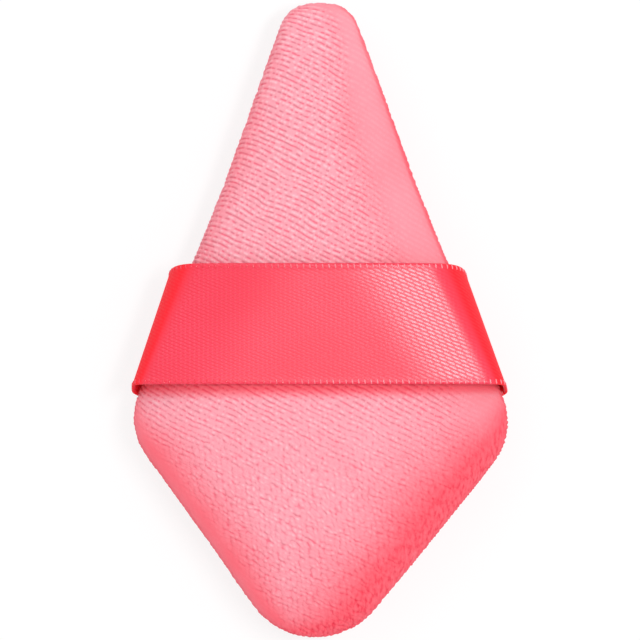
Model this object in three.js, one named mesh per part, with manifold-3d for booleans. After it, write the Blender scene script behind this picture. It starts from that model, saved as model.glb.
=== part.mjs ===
// Velour powder puff with a satin finger ribbon
// Millimetres, +Z up, +Y towards the pointed tip. The puff lies on its powder side with the
// ribbon up, and the origin is on the surface it lies on, under the middle of its length.

import * as THREE from 'three';
import { mergeVertices } from 'three/addons/utils/BufferGeometryUtils.js';
import Module from 'manifold-3d';

const wasm = await Module();
wasm.setup();

// Outline of the pad, a hull round four circles
const padLength = 85;
const padWidth = 50.2;
const tipRadius = 5.5;
const sideRadius = 8.8;
const toeRadius = 10.2;
const toeLean = 0.67;
const wideLineBack = 13.2;

// Heights of the pad: each crown is measured from the seam
const strapCrown = 7.5;
const powderCrown = 7;
const pressedFlat = 0.5;
const crownBack = 8;
const bulgeHeight = 2;
const crownPower = 2.4;
const crownEase = 0.45;

// Covers
const coverWall = 1.6;
const drawIn = 0.8;
const flangeWidth = 3.3;
const flangeThickness = 1.2;

// Ribbon
const ribbonWidth = 16;
const ribbonThickness = 0.4;
const ribbonBack = 0.5;
const fingerGap = 1.2;
const standOff = 0.35;
const foldEase = THREE.MathUtils.degToRad(1.5);
const middleFlat = 1;
const archRadius = 70;
const shoulderRadius = 5.5;

// Sewing
const threadSize = 0.4;
const stitchLength = 5.8;
const turningGap = 26;
const closingPitch = 1.6;
const closingBite = 0.7;
const closingGap = 0.1;
const tackPitch = 3.6;
const tackStitches = 4;
const seamShare = 0.45;
const tackShare = 0.78;
const postShare = 0.8;

// Clearances
const gap = 0.3;
const holeGap = 0.2;
const pocketGap = 0.1;
const overrun = 2;

// Shares of the way from the crown to the rim at which the rings of a dome lie
const outerDomeShares = [0.28, 0.52, 0.73, 0.88, 0.97, 1];
const innerDomeShares = [0.45, 0.8, 1];
const rollShares = [0, 0.5, 1];

// Facets
const tipSteps = 8;
const sideSteps = 5;
const toeSteps = 8;
const longSideSteps = 4;
const shortSideSteps = 2;
const archSteps = 5;
const shoulderSteps = 8;
const threadSides = 5;
const threadSteps = 3;
const tackSearchSteps = 400;

// Places that follow from the sizes
const seamZ = powderCrown - pressedFlat;
const crownCentre = new THREE.Vector2(0, -crownBack);
const flangeEnd = drawIn + flangeWidth;
const seamInset = drawIn + flangeWidth * seamShare;
const tackInset = drawIn + flangeWidth * tackShare;

// Outline

const rimCircles = [
  {
    x: padWidth / 2 - sideRadius, y: -wideLineBack,
    radius: sideRadius, steps: sideSteps, straightSteps: longSideSteps,
  },
  {
    x: 0, y: padLength / 2 - tipRadius,
    radius: tipRadius, steps: tipSteps, straightSteps: longSideSteps,
  },
  {
    x: sideRadius - padWidth / 2, y: -wideLineBack,
    radius: sideRadius, steps: sideSteps, straightSteps: shortSideSteps,
  },
  {
    x: -toeLean, y: toeRadius - padLength / 2,
    radius: toeRadius, steps: toeSteps, straightSteps: shortSideSteps,
  },
];

// Direction that the straight side between two neighbouring circles faces
function sideAngle(from, to) {
  const across = Math.hypot(to.x - from.x, to.y - from.y);
  const heading = Math.atan2(to.y - from.y, to.x - from.x);
  return heading - Math.acos((from.radius - to.radius) / across);
}

// One station of the rim: a circle's centre and radius and the direction it faces
function blendStations(a, b, share) {
  return {
    x: THREE.MathUtils.lerp(a.x, b.x, share),
    y: THREE.MathUtils.lerp(a.y, b.y, share),
    radius: THREE.MathUtils.lerp(a.radius, b.radius, share),
    angle: THREE.MathUtils.lerp(a.angle, b.angle, share),
  };
}

// Stations all round, and the station in the middle of each circle's arc: a corner of the pad
function makeRim() {
  const rim = [];
  const corners = [];
  let facing = sideAngle(rimCircles.at(-1), rimCircles[0]);
  rimCircles.forEach((circle, index) => {
    const next = rimCircles[(index + 1) % rimCircles.length];
    let end = sideAngle(circle, next);
    while (end < facing) end += 2 * Math.PI;
    const arcStation = (angle) => ({ x: circle.x, y: circle.y, radius: circle.radius, angle });
    for (let step = 0; step <= circle.steps; step++) {
      rim.push({ ...arcStation(THREE.MathUtils.lerp(facing, end, step / circle.steps)), corner: index });
    }
    const last = rim.at(-1);
    const first = { x: next.x, y: next.y, radius: next.radius, angle: end };
    for (let step = 1; step < circle.straightSteps; step++) {
      const share = step / circle.straightSteps;
      const corner = share < 1 / 2 ? index : (index + 1) % rimCircles.length;
      rim.push({ ...blendStations(last, first, share), corner });
    }
    corners.push(arcStation((facing + end) / 2));
    facing = end;
  });
  return { rim, corners };
}

const { rim, corners } = makeRim();

function rimPoint(station, inset) {
  const reach = station.radius - inset;
  return new THREE.Vector2(
    station.x + reach * Math.cos(station.angle),
    station.y + reach * Math.sin(station.angle),
  );
}

// Distance from one station to the next along the rim, at an inset
function rimStep(a, b, inset) {
  const turned = b.angle - a.angle;
  if (a.x === b.x && a.y === b.y) return (a.radius - inset) * turned;
  return rimPoint(a, inset).distanceTo(rimPoint(b, inset));
}

const rimLoop = [...rim, { ...rim[0], angle: rim[0].angle + 2 * Math.PI }];

function rimLength(inset) {
  return rim.reduce((sum, station, i) => sum + rimStep(station, rimLoop[i + 1], inset), 0);
}

// Station at a distance along the rim, counted from the right end of the turning gap's side
function stationAt(distance, inset) {
  let left = THREE.MathUtils.euclideanModulo(distance, rimLength(inset));
  for (let i = 0; i < rim.length; i++) {
    const length = rimStep(rimLoop[i], rimLoop[i + 1], inset);
    if (left <= length) return blendStations(rimLoop[i], rimLoop[i + 1], left / length);
    left -= length;
  }
  return rim[0];
}

// Solids

function toGeometry(points, triangles) {
  const geometry = new THREE.BufferGeometry();
  geometry.setAttribute('position', new THREE.Float32BufferAttribute(points, 3));
  geometry.setIndex(triangles);
  return geometry;
}

function toManifold(geometry) {
  const bare = geometry.clone();
  bare.deleteAttribute('normal');
  bare.deleteAttribute('uv');
  const merged = mergeVertices(bare);
  const triVerts = [];
  for (let i = 0; i < merged.index.count; i += 3) {
    const [a, b, c] = merged.index.array.slice(i, i + 3);
    if (a !== b && b !== c && c !== a) triVerts.push(a, b, c);
  }
  const mesh = new wasm.Mesh({
    numProp: 3,
    vertProperties: new Float32Array(merged.attributes.position.array),
    triVerts: new Uint32Array(triVerts),
  });
  return new wasm.Manifold(mesh);
}

function fromManifold(solid) {
  const mesh = solid.getMesh();
  return toGeometry(Array.from(mesh.vertProperties), Array.from(mesh.triVerts));
}

function cut(geometry, tools) {
  return fromManifold(tools.reduce((solid, tool) => solid.subtract(toManifold(tool)),
    toManifold(geometry)));
}

function join(geometries) {
  const solids = geometries.map(toManifold);
  return fromManifold(solids.reduce((sum, solid) => sum.add(solid)));
}

// Skin over a run of rings that starts and ends in a pole; rings of one point are poles
function skinRings(rings) {
  const points = [];
  const starts = rings.map((ring) => {
    const start = points.length / 3;
    ring.forEach((p) => points.push(p.x, p.y, p.z));
    return start;
  });
  const triangles = [];
  for (let r = 0; r + 1 < rings.length; r++) {
    const count = Math.max(rings[r].length, rings[r + 1].length);
    for (let i = 0; i < count; i++) {
      const next = (i + 1) % count;
      const [a, b] = rings[r].length > 1 ? [starts[r] + i, starts[r] + next] : [starts[r], starts[r]];
      const [c, d] = rings[r + 1].length > 1
        ? [starts[r + 1] + i, starts[r + 1] + next] : [starts[r + 1], starts[r + 1]];
      if (c !== d) triangles.push(a, c, d);
      if (a !== b) triangles.push(a, d, b);
    }
  }
  return toGeometry(points, triangles);
}

// Solid swept through equal sections, with flat ends
function sweepSections(sections) {
  const count = sections[0].length;
  const points = sections.flat().flatMap((p) => [p.x, p.y, p.z]);
  const triangles = [];
  for (let s = 0; s + 1 < sections.length; s++) {
    for (let i = 0; i < count; i++) {
      const next = (i + 1) % count;
      const [a, b] = [s * count + i, s * count + next];
      const [c, d] = [a + count, b + count];
      triangles.push(a, b, d, a, d, c);
    }
  }
  const end = (sections.length - 1) * count;
  for (let i = 1; i + 1 < count; i++) {
    triangles.push(0, i + 1, i);
    triangles.push(end, end + i, end + i + 1);
  }
  return toGeometry(points, triangles);
}

// Closed band round the rim with a flat top and bottom, from one inset in to another
function rimBand(outerInset, innerInset, lowZ, highZ) {
  const ring = (inset, z) => rim.map((station) => {
    const p = rimPoint(station, inset);
    return new THREE.Vector3(p.x, p.y, z);
  });
  const rings = [
    ring(innerInset, highZ), ring(outerInset, highZ),
    ring(outerInset, lowZ), ring(innerInset, lowZ), ring(innerInset, highZ),
  ];
  return skinRings(rings);
}

// Pad

// How far in from the rim the rolled edge lies, at a height over the seam
function rollInset(height) {
  const share = Math.min(height / bulgeHeight, 1);
  return drawIn * (1 - Math.sqrt(share * (2 - share)));
}

function domeHeight(share, crown) {
  return bulgeHeight + (crown - bulgeHeight) * (1 - share ** crownPower) ** crownEase;
}

// Share of the way out at which a crown reaches the depth it is pressed flat to
function flatShare(crown, depth) {
  const rest = ((depth - bulgeHeight) / (crown - bulgeHeight)) ** (1 / crownEase);
  return (1 - rest) ** (1 / crownPower);
}

// Ring of the pad at a share of the way out from the crown's centre
function padRing(side, inset, share, height, stations = rim) {
  return stations.map((station) => {
    const p = rimPoint(station, inset).sub(crownCentre).multiplyScalar(share).add(crownCentre);
    return new THREE.Vector3(p.x, p.y, seamZ + side * height);
  });
}

// Rings from a dome's pole out to its widest line; pressed is how deep its crown is flattened,
// which leaves a kite with its points at the pad's corners
function domeRings(side, inset, crown, pressed, shares) {
  const top = crown - pressed;
  const start = pressed > 0 ? flatShare(crown, top) : 0;
  const rings = [[new THREE.Vector3(crownCentre.x, crownCentre.y, seamZ + side * top)]];
  const kite = rim.map((station) => corners[station.corner]);
  if (pressed > 0) rings.push(padRing(side, inset, start, top, kite));
  shares.forEach((share) => {
    const out = THREE.MathUtils.lerp(start, 1, share);
    rings.push(padRing(side, inset, out, domeHeight(out, crown)));
  });
  return rings;
}

// Cover: a domed shell whose edge is rolled in to the seam and turned in as a flat flange
function coverShell(side, crown, pressed) {
  const outer = domeRings(side, 0, crown, pressed, outerDomeShares);
  const roll = rollShares.slice(1).map((share) => {
    const height = bulgeHeight * (1 - Math.sin(share * Math.PI / 2));
    return padRing(side, rollInset(height), 1, height);
  });
  const flange = [
    padRing(side, flangeEnd, 1, 0),
    padRing(side, flangeEnd, 1, flangeThickness),
    padRing(side, coverWall + rollInset(flangeThickness), 1, flangeThickness),
  ];
  const inner = domeRings(side, coverWall, crown - coverWall, pressed, innerDomeShares);
  const rings = [...outer, ...roll, ...flange, ...inner.reverse()];
  return skinRings(side > 0 ? rings : rings.reverse());
}

// Filling that fits inside both covers, grooved where their flanges meet
function foamFilling() {
  const inset = coverWall + gap;
  const upper = domeRings(1, inset, strapCrown - inset, 0, innerDomeShares);
  const lower = domeRings(-1, inset, powderCrown - inset, pressedFlat, innerDomeShares);
  const waist = rollShares.slice(1).map((share) => {
    const height = bulgeHeight * (1 - Math.sin(share * Math.PI / 2));
    return [height, inset + rollInset(height)];
  });
  const rings = [
    ...upper,
    ...waist.map(([height, at]) => padRing(1, at, 1, height)),
    ...waist.slice(0, -1).reverse().map(([height, at]) => padRing(-1, at, 1, height)),
    ...lower.reverse(),
  ];
  const halfGroove = flangeThickness + threadSize + gap;
  const groove = rimBand(-overrun, flangeEnd + gap, seamZ - halfGroove, seamZ + halfGroove);
  return cut(skinRings(rings), [groove]);
}

// Ribbon

// The ribbon bends only along straight lines, which stand a little steeper than the pad's sides
const foldAngle = sideAngle(rimCircles[0], rimCircles[1]) - foldEase;
const foldOut = new THREE.Vector2(Math.cos(foldAngle), Math.sin(foldAngle));
const foldAlong = new THREE.Vector2(-Math.sin(foldAngle), Math.cos(foldAngle));
const ribbonCentre = new THREE.Vector2(0, -ribbonBack);

// Reach of the pad along the fold direction, from the ribbon's centre
const padReach = Math.max(...rimCircles.map((circle) => (
  (circle.x - ribbonCentre.x) * foldOut.x + (circle.y - ribbonCentre.y) * foldOut.y + circle.radius)));

const strapTopZ = seamZ + strapCrown + fingerGap + ribbonThickness / 2;
const legOut = padReach + standOff + ribbonThickness / 2;
const legFootZ = seamZ - ribbonThickness / 2;
const flatHalf = ribbonWidth / 2 * Math.sin(foldAngle) + middleFlat;
const archTurn = Math.asin((legOut - flatHalf - shoulderRadius) / (archRadius - shoulderRadius));
const archLength = archRadius * archTurn;
const shoulderTurn = Math.PI / 2 - archTurn;
const shoulderLength = shoulderRadius * shoulderTurn;
const archDrop = archRadius * (1 - Math.cos(archTurn));
const shoulderDrop = shoulderRadius * Math.cos(archTurn);
const legTopZ = strapTopZ - archDrop - shoulderDrop;
const legLength = legTopZ - legFootZ;
const footLength = flatHalf + archLength + shoulderLength + legLength;

// Middle line of the bent ribbon, at a length from its centre: reach, height and slope
function bendAt(length) {
  if (length <= flatHalf) return { out: length, z: strapTopZ, turn: 0 };
  const inArch = Math.min(length - flatHalf, archLength);
  const arch = inArch / archRadius;
  const out = flatHalf + archRadius * Math.sin(arch);
  const z = strapTopZ - archRadius * (1 - Math.cos(arch));
  const inShoulder = Math.min(length - flatHalf - inArch, shoulderLength);
  const turn = arch + inShoulder / shoulderRadius;
  const inLeg = Math.max(length - flatHalf - archLength - shoulderLength, 0);
  return {
    out: out + shoulderRadius * (Math.sin(turn) - Math.sin(arch)),
    z: z - shoulderRadius * (Math.cos(arch) - Math.cos(turn)) - inLeg,
    turn,
  };
}

// Place on the plan of a ribbon's edge, folded to a reach, mirrored for the left side
function planPoint(side, length, across, out) {
  const along = (across - length * foldOut.y) / foldOut.x;
  return new THREE.Vector2(
    side * (ribbonCentre.x + along * foldAlong.x + out * foldOut.x),
    ribbonCentre.y + along * foldAlong.y + out * foldOut.y,
  );
}

// Section of the strap across its width: two corners below and two above
function strapSection(side, length) {
  const bend = bendAt(length);
  const corner = (across, offset) => {
    const out = bend.out + offset * Math.sin(bend.turn);
    const p = planPoint(side, length, across, out);
    return new THREE.Vector3(p.x, p.y, bend.z + offset * Math.cos(bend.turn));
  };
  const [half, thick] = [ribbonWidth / 2, ribbonThickness / 2];
  return [corner(-half, -thick), corner(half, -thick), corner(half, thick), corner(-half, thick)];
}

function ribbonStrap() {
  const lengths = [flatHalf];
  for (let step = 1; step <= archSteps; step++) {
    lengths.push(flatHalf + archLength * step / archSteps);
  }
  for (let step = 1; step <= shoulderSteps; step++) {
    lengths.push(flatHalf + archLength + shoulderLength * step / shoulderSteps);
  }
  lengths.push(footLength);
  const left = lengths.map((length) => strapSection(-1, length)).reverse();
  const right = lengths.map((length) => strapSection(1, length));
  return sweepSections([...left, ...right]);
}

// Flat tab between the flanges, where the ribbon's end is caught; grow widens it as a cutter
function tabPlate(side, grow) {
  const outerEnd = padReach + standOff - gap + grow;
  const innerEnd = padReach - flangeEnd + gap - grow;
  const half = ribbonWidth / 2 + grow;
  const corners = [
    [outerEnd, -half], [outerEnd, half], [innerEnd, half], [innerEnd, -half],
  ].map(([out, across]) => planPoint(side, footLength + legOut - out, across, out));
  const thickness = ribbonThickness + 2 * Math.min(grow, pocketGap);
  const plate = new THREE.ExtrudeGeometry(new THREE.Shape(corners), {
    depth: thickness, bevelEnabled: false,
  });
  return plate.translate(0, 0, seamZ - thickness / 2);
}

// Sewing

// Square post of thread at a rim station, from one height to another
function threadPost(station, inset, size, lowZ, highZ) {
  const p = rimPoint(station, inset);
  const post = new THREE.BoxGeometry(size, size, highZ - lowZ);
  post.rotateZ(station.angle);
  return post.translate(p.x, p.y, (lowZ + highZ) / 2);
}

// Flat run of thread through a row of rim stations
function threadRun(stations, inset, lowZ) {
  return sweepSections(stations.map((station) => {
    const [outer, inner] = [-1, 1].map((way) => rimPoint(station, inset + way * threadSize / 2));
    const highZ = lowZ + threadSize;
    return [
      new THREE.Vector3(outer.x, outer.y, lowZ), new THREE.Vector3(inner.x, inner.y, lowZ),
      new THREE.Vector3(inner.x, inner.y, highZ), new THREE.Vector3(outer.x, outer.y, highZ),
    ];
  }));
}

// Stations of the lockstitched seam, which runs all round but for the turning gap
const gapSide = rimStep(rimLoop.at(-2), rimLoop.at(-1), 0) * shortSideSteps;
const gapMiddle = -gapSide / 2;
const seamRun = rimLength(seamInset) - turningGap;
const seamCount = Math.round(seamRun / stitchLength);
const seamStations = Array.from({ length: seamCount + 1 }, (_, i) => (
  stationAt(gapMiddle + turningGap / 2 + seamRun * i / seamCount, seamInset)));

// Stations of the tack that holds one end of the ribbon to the strap side's flange
function tackStations(side) {
  const tab = planPoint(side, footLength, 0, legOut);
  const distances = Array.from({ length: tackSearchSteps }, (_, i) => (
    rimLength(tackInset) * i / tackSearchSteps));
  const distanceFromTab = (d) => rimPoint(stationAt(d, tackInset), tackInset).distanceTo(tab);
  const middle = distances.reduce((best, d) => (distanceFromTab(d) < distanceFromTab(best) ? d : best));
  return Array.from({ length: tackStitches }, (_, i) => (
    stationAt(middle + (i - (tackStitches - 1) / 2) * tackPitch, tackInset)));
}

const tacks = { right: tackStations(1), left: tackStations(-1) };
const flangeTopZ = seamZ + flangeThickness;
const flangeLowZ = seamZ - flangeThickness;

// Needle holes: through everything for the seam, and down to the ribbon for a tack
function seamHoles() {
  return seamStations.map((station) => threadPost(station, seamInset, threadSize + 2 * holeGap,
    flangeLowZ - overrun, flangeTopZ + overrun));
}

function tackHoles(stations) {
  return stations.map((station) => threadPost(station, tackInset, threadSize + 2 * holeGap,
    seamZ - ribbonThickness, flangeTopZ + overrun));
}

// One thread of the seam: a run on its flange and a post into every needle hole
function seamThread(side) {
  const postSize = threadSize * postShare;
  const runLowZ = side > 0 ? flangeTopZ : flangeLowZ - threadSize;
  const ends = [seamZ + side * gap / 2, seamZ + side * (flangeThickness + threadSize / 2)];
  const posts = seamStations.map((station) => (
    threadPost(station, seamInset, postSize, Math.min(...ends), Math.max(...ends))));
  return join([threadRun(seamStations, seamInset, runLowZ), ...posts]);
}

function tackThread(stations) {
  const footZ = seamZ - ribbonThickness / 2;
  const posts = stations.map((station) => threadPost(station, tackInset, threadSize * postShare,
    footZ, flangeTopZ + threadSize / 2));
  return join([threadRun(stations, tackInset, flangeTopZ), ...posts]);
}

// Zigzag thread that closes the turning gap from outside
function closingThread() {
  const count = Math.round(turningGap / closingPitch);
  const route = Array.from({ length: count + 1 }, (_, i) => {
    const height = closingBite * (i % 2 ? 1 : -1);
    const station = stationAt(gapMiddle + turningGap * (i / count - 1 / 2), 0);
    const p = rimPoint(station, rollInset(closingBite) - closingGap - threadSize / 2);
    return new THREE.Vector3(p.x, p.y, seamZ + height);
  });
  const section = new THREE.Shape(Array.from({ length: threadSides }, (_, i) => {
    const turn = 2 * Math.PI * i / threadSides;
    return new THREE.Vector2(Math.cos(turn), Math.sin(turn)).multiplyScalar(threadSize / 2);
  }));
  return new THREE.ExtrudeGeometry(section, {
    steps: count * threadSteps,
    extrudePath: new THREE.CatmullRomCurve3(route, false, 'centripetal'),
    bevelEnabled: false,
  });
}

// Materials

const velour = { color: 0xf7a9b5, roughness: 0.95, metalness: 0 };
const satin = { color: 0xf4566a, roughness: 0.38, metalness: 0 };
const foam = { color: 0xfbf4ee, roughness: 0.9, metalness: 0 };
const thread = { color: 0xf28c9c, roughness: 0.6, metalness: 0 };

// Assembly

const puff = new THREE.Group();

function addPart(name, geometry, finish) {
  geometry.computeVertexNormals();
  const mesh = new THREE.Mesh(geometry, new THREE.MeshStandardMaterial(finish));
  mesh.name = name;
  puff.add(mesh);
}

const pockets = [tabPlate(1, gap), tabPlate(-1, gap)];
const tackCuts = [...tackHoles(tacks.right), ...tackHoles(tacks.left)];

addPart('strap_side_cover',
  cut(coverShell(1, strapCrown, 0), [...seamHoles(), ...pockets, ...tackCuts]), velour);
addPart('powder_side_cover',
  cut(coverShell(-1, powderCrown, pressedFlat), [...seamHoles(), ...pockets]), velour);
addPart('foam_core', foamFilling(), foam);
addPart('ribbon_strap', ribbonStrap(), satin);
addPart('ribbon_tab_right', cut(tabPlate(1, 0), [...seamHoles(), ...tackHoles(tacks.right)]), satin);
addPart('ribbon_tab_left', cut(tabPlate(-1, 0), [...seamHoles(), ...tackHoles(tacks.left)]), satin);
addPart('needle_thread', seamThread(1), thread);
addPart('bobbin_thread', seamThread(-1), thread);
addPart('ribbon_tack_right', tackThread(tacks.right), thread);
addPart('ribbon_tack_left', tackThread(tacks.left), thread);
addPart('closing_stitches', closingThread(), thread);

export default puff;
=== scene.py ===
import math

import bpy
import numpy as np
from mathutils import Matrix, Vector


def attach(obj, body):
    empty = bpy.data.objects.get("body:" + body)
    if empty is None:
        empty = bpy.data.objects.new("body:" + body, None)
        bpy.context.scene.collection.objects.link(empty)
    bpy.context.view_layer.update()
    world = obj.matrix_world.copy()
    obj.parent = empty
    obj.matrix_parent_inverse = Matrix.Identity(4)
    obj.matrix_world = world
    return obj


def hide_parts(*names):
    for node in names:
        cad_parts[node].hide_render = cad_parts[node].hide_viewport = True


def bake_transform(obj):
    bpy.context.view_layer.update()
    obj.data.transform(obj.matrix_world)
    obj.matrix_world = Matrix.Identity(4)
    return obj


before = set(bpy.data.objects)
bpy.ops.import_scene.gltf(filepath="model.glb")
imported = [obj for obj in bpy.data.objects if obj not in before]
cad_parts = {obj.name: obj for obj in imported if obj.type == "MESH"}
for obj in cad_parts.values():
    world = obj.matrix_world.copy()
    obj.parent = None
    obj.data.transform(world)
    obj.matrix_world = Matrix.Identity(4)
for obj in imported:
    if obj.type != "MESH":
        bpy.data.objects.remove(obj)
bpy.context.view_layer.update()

# ---------------------------------------------------------------- sizes, in millimetres

MM = 0.001

# Outline of the pad: circles in the corners, joined by straight sides
SIDE_X, SIDE_Y, SIDE_RADIUS = 16.3, -13.2, 8.8
TIP_Y, TIP_RADIUS = 37.0, 5.5
TOE_X, TOE_Y, TOE_RADIUS = -0.67, -32.3, 10.2
CORNERS = [
    (0.0, TIP_Y, TIP_RADIUS),
    (SIDE_X, SIDE_Y, SIDE_RADIUS),
    (TOE_X, TOE_Y, TOE_RADIUS),
    (-SIDE_X, SIDE_Y, SIDE_RADIUS),
]

# Section of the pad
SEAM_Z = 6.5
STRAP_CROWN, POWDER_CROWN = 7.5, 7.0
CROWN_CENTRE = np.array([0.0, -8.0])
BULGE = 2.0
CROWN_POWER, CROWN_EASE = 2.4, 0.45
COVER_WALL = 1.6
DRAW_IN = 0.8
FLANGE_WIDTH, FLANGE_THICKNESS = 3.3, 1.2
SEAM_GAP, RIBBON_SEAM_GAP = 0.05, 0.2
FOAM_GAP = 0.3

# Ribbon: it bends early and gently along its upper edge, late and tightly along its lower edge
RIBBON_WIDTH, RIBBON_THICKNESS = 16.0, 0.3
RIBBON_BACK = 0.5
RIBBON_TOP_Z, RIBBON_LOW_Z = 15.4, 14.75
ARCH_TURN = math.radians(8.5)
BEND_START_TOP, BEND_START_LOW = 2.7, 7.5
SHOULDER_TOP, SHOULDER_LOW, WRAP_RADIUS = 5.2, 2.4, 1.3
FOLD_RIGHT, FOLD_LEFT = math.radians(19.6), math.radians(18.3)
STAND_RIGHT, STAND_LEFT = 0.5, 0.64
TAB_LENGTH = 3.0
LEG_HOLD = 0.3

# Threads
THREAD_RADIUS = 0.13
SEAM_INSET, TACK_INSET = 2.3, 3.4
STITCH_PITCH, TACK_PITCH, CLOSING_PITCH = 2.9, 3.6, 1.6
STITCH_APART, TACK_LENGTH, TACK_COUNT = 0.25, 2.6, 4
TURNING_GAP = 26.0

# Small unevenness of the sewn outline: place along the pad, and how far its right and its left
# side stand out there
TRIM_Y, TRIM_RIGHT, TRIM_LEFT = np.array([
    (-42.5, 0.0, 0.0), (-40.6, 0.25, 0.0), (-37.3, 0.3, 0.05), (-33.0, 0.5, -0.1),
    (-30.9, 0.55, -0.2), (-24.5, 0.62, -0.22), (-21.3, 0.65, -0.25), (-18.1, 0.5, -0.22),
    (-13.0, 0.15, -0.1), (-8.0, 0.0, -0.1), (8.2, -0.25, -0.35), (10.6, -0.3, -0.45),
    (18.6, -0.35, -0.45), (26.6, -0.05, -0.1), (34.6, 0.3, 0.35), (38.6, 0.45, 0.6),
    (40.8, 0.8, 0.95), (42.5, 1.3, 1.5)]).T


# ---------------------------------------------------------------- camera

CAMERA_HEIGHT = 640.0
LENS, SENSOR_WIDTH = 266.5, 36.0
CAMERA_X = 0.04

camera = bpy.data.objects.new("camera", bpy.data.cameras.new("camera"))
bpy.context.scene.collection.objects.link(camera)
camera.data.sensor_width = SENSOR_WIDTH
camera.data.lens = LENS
camera.data.clip_start, camera.data.clip_end = 0.01, 10
camera.location = (CAMERA_X * MM, 0, CAMERA_HEIGHT * MM)
bpy.context.scene.camera = camera


# ---------------------------------------------------------------- mesh and node helpers


def make_object(name, points, faces, materials=()):
    """An object at the origin, from points in millimetres."""
    mesh = bpy.data.meshes.new(name)
    mesh.from_pydata((np.asarray(points) * MM).tolist(), [], [list(map(int, f)) for f in faces])
    mesh.update()
    for material in materials:
        mesh.materials.append(material)
    made = bpy.data.objects.new(name, mesh)
    bpy.context.scene.collection.objects.link(made)
    return made


def smooth(mesh):
    mesh.polygons.foreach_set("use_smooth", [True] * len(mesh.polygons))
    mesh.update()


def point_places(mesh):
    """Places of a mesh's points, in millimetres."""
    found = np.empty(len(mesh.vertices) * 3)
    mesh.vertices.foreach_get("co", found)
    return found.reshape(-1, 3) / MM


def write_vectors(mesh, name, values):
    made = mesh.attributes.new(name, "FLOAT_VECTOR", "POINT")
    made.data.foreach_set("vector", np.asarray(values, np.float32).ravel())


def read_vectors(mesh, name):
    found = np.empty(len(mesh.vertices) * 3, np.float32)
    mesh.attributes[name].data.foreach_get("vector", found)
    return found.reshape(-1, 3)


def applied(source, name):
    """The object's shape with its modifiers, as a plain mesh in a new object; the source goes."""
    seen = source.evaluated_get(bpy.context.evaluated_depsgraph_get())
    mesh = bpy.data.meshes.new_from_object(seen)
    mesh.name = name
    bpy.data.objects.remove(source)
    made = bpy.data.objects.new(name, mesh)
    bpy.context.scene.collection.objects.link(made)
    return made


def unit(vectors):
    return vectors / np.maximum(np.linalg.norm(vectors, axis=-1, keepdims=True), 1e-12)


def eased(share):
    share = np.clip(share, 0, 1)
    return share * share * (3 - 2 * share)


class Net:
    """Lays and links the nodes of one tree."""

    def __init__(self, tree):
        self.tree = tree

    def node(self, kind, inputs=None, **settings):
        made = self.tree.nodes.new(kind)
        for key, value in settings.items():
            setattr(made, key, value)
        for key, value in (inputs or {}).items():
            self.feed(made.inputs[key], value)
        return made

    def feed(self, socket, value):
        """Links what comes out of another node, and sets a plain value."""
        if isinstance(value, bpy.types.NodeSocket):
            self.tree.links.new(value, socket)
        else:
            socket.default_value = value

    def feed_all(self, sockets, values):
        for socket, value in zip(sockets, values):
            self.feed(socket, value)

    def math(self, operation, *values, clamp=False):
        made = self.node("ShaderNodeMath", operation=operation, use_clamp=clamp)
        self.feed_all(made.inputs, values)
        return made.outputs[0]

    def plus(self, a, b, clamp=False):
        return self.math("ADD", a, b, clamp=clamp)

    def minus(self, a, b, clamp=False):
        return self.math("SUBTRACT", a, b, clamp=clamp)

    def times(self, a, b):
        return self.math("MULTIPLY", a, b)

    def over(self, a, b):
        return self.math("DIVIDE", a, b)

    def larger(self, a, b):
        return self.math("MAXIMUM", a, b)

    def vector(self, operation, *values):
        made = self.node("ShaderNodeVectorMath", operation=operation)
        scales = operation == "SCALE"
        self.feed_all([made.inputs[0], made.inputs["Scale"]] if scales else made.inputs, values)
        return made.outputs["Value" if operation in ("DOT_PRODUCT", "LENGTH") else "Vector"]

    def in_mm(self, place):
        return self.vector("SCALE", place, 1 / MM)

    def toward(self, facing, way):
        """1 where the surface faces the given way, and 0 where it faces square to it."""
        return self.vector("DOT_PRODUCT", facing, way)

    def aside(self, facing):
        """0 where the surface faces up or down, and 1 where it faces sideways."""
        return self.vector("LENGTH", self.vector("MULTIPLY", facing, (1.0, 1.0, 0.0)))

    def ramp(self, value, low, high, to_low=0.0, to_high=1.0):
        """The value's place between two limits, eased at both."""
        made = self.node("ShaderNodeMapRange", {
            "Value": value, "From Min": low, "From Max": high, "To Min": to_low, "To Max": to_high},
            interpolation_type="SMOOTHSTEP")
        return made.outputs[0]

    def blend(self, share, a, b):
        return self.node("ShaderNodeMix", {0: share, 2: a, 3: b}, data_type="FLOAT").outputs[0]

    def tint(self, share, a, b):
        return self.node("ShaderNodeMix", {0: share, 6: a, 7: b}, data_type="RGBA").outputs[2]

    def noise(self, place, scale, detail=2.0, roughness=0.5, out="Fac"):
        return self.node("ShaderNodeTexNoise", {
            "Vector": place, "Scale": scale, "Detail": detail, "Roughness": roughness}).outputs[out]

    def sway(self, place, scale, reach):
        """Soft push this way and that, to each side by up to about half the reach."""
        push = self.noise(place, scale, 1.0, out="Color")
        return self.vector("SCALE", self.vector("SUBTRACT", push, (0.5, 0.5, 0.5)), reach)

    def slanted(self, x, y, cosine, sine):
        """How far along and how far across lines that slant down to the right."""
        along = self.minus(self.times(x, cosine), self.times(y, sine))
        return along, self.plus(self.times(x, sine), self.times(y, cosine))

    def split(self, place):
        return self.node("ShaderNodeSeparateXYZ", {"Vector": place}).outputs

    def point(self, x, y, z=0.0):
        return self.node("ShaderNodeCombineXYZ", {"X": x, "Y": y, "Z": z}).outputs[0]


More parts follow.
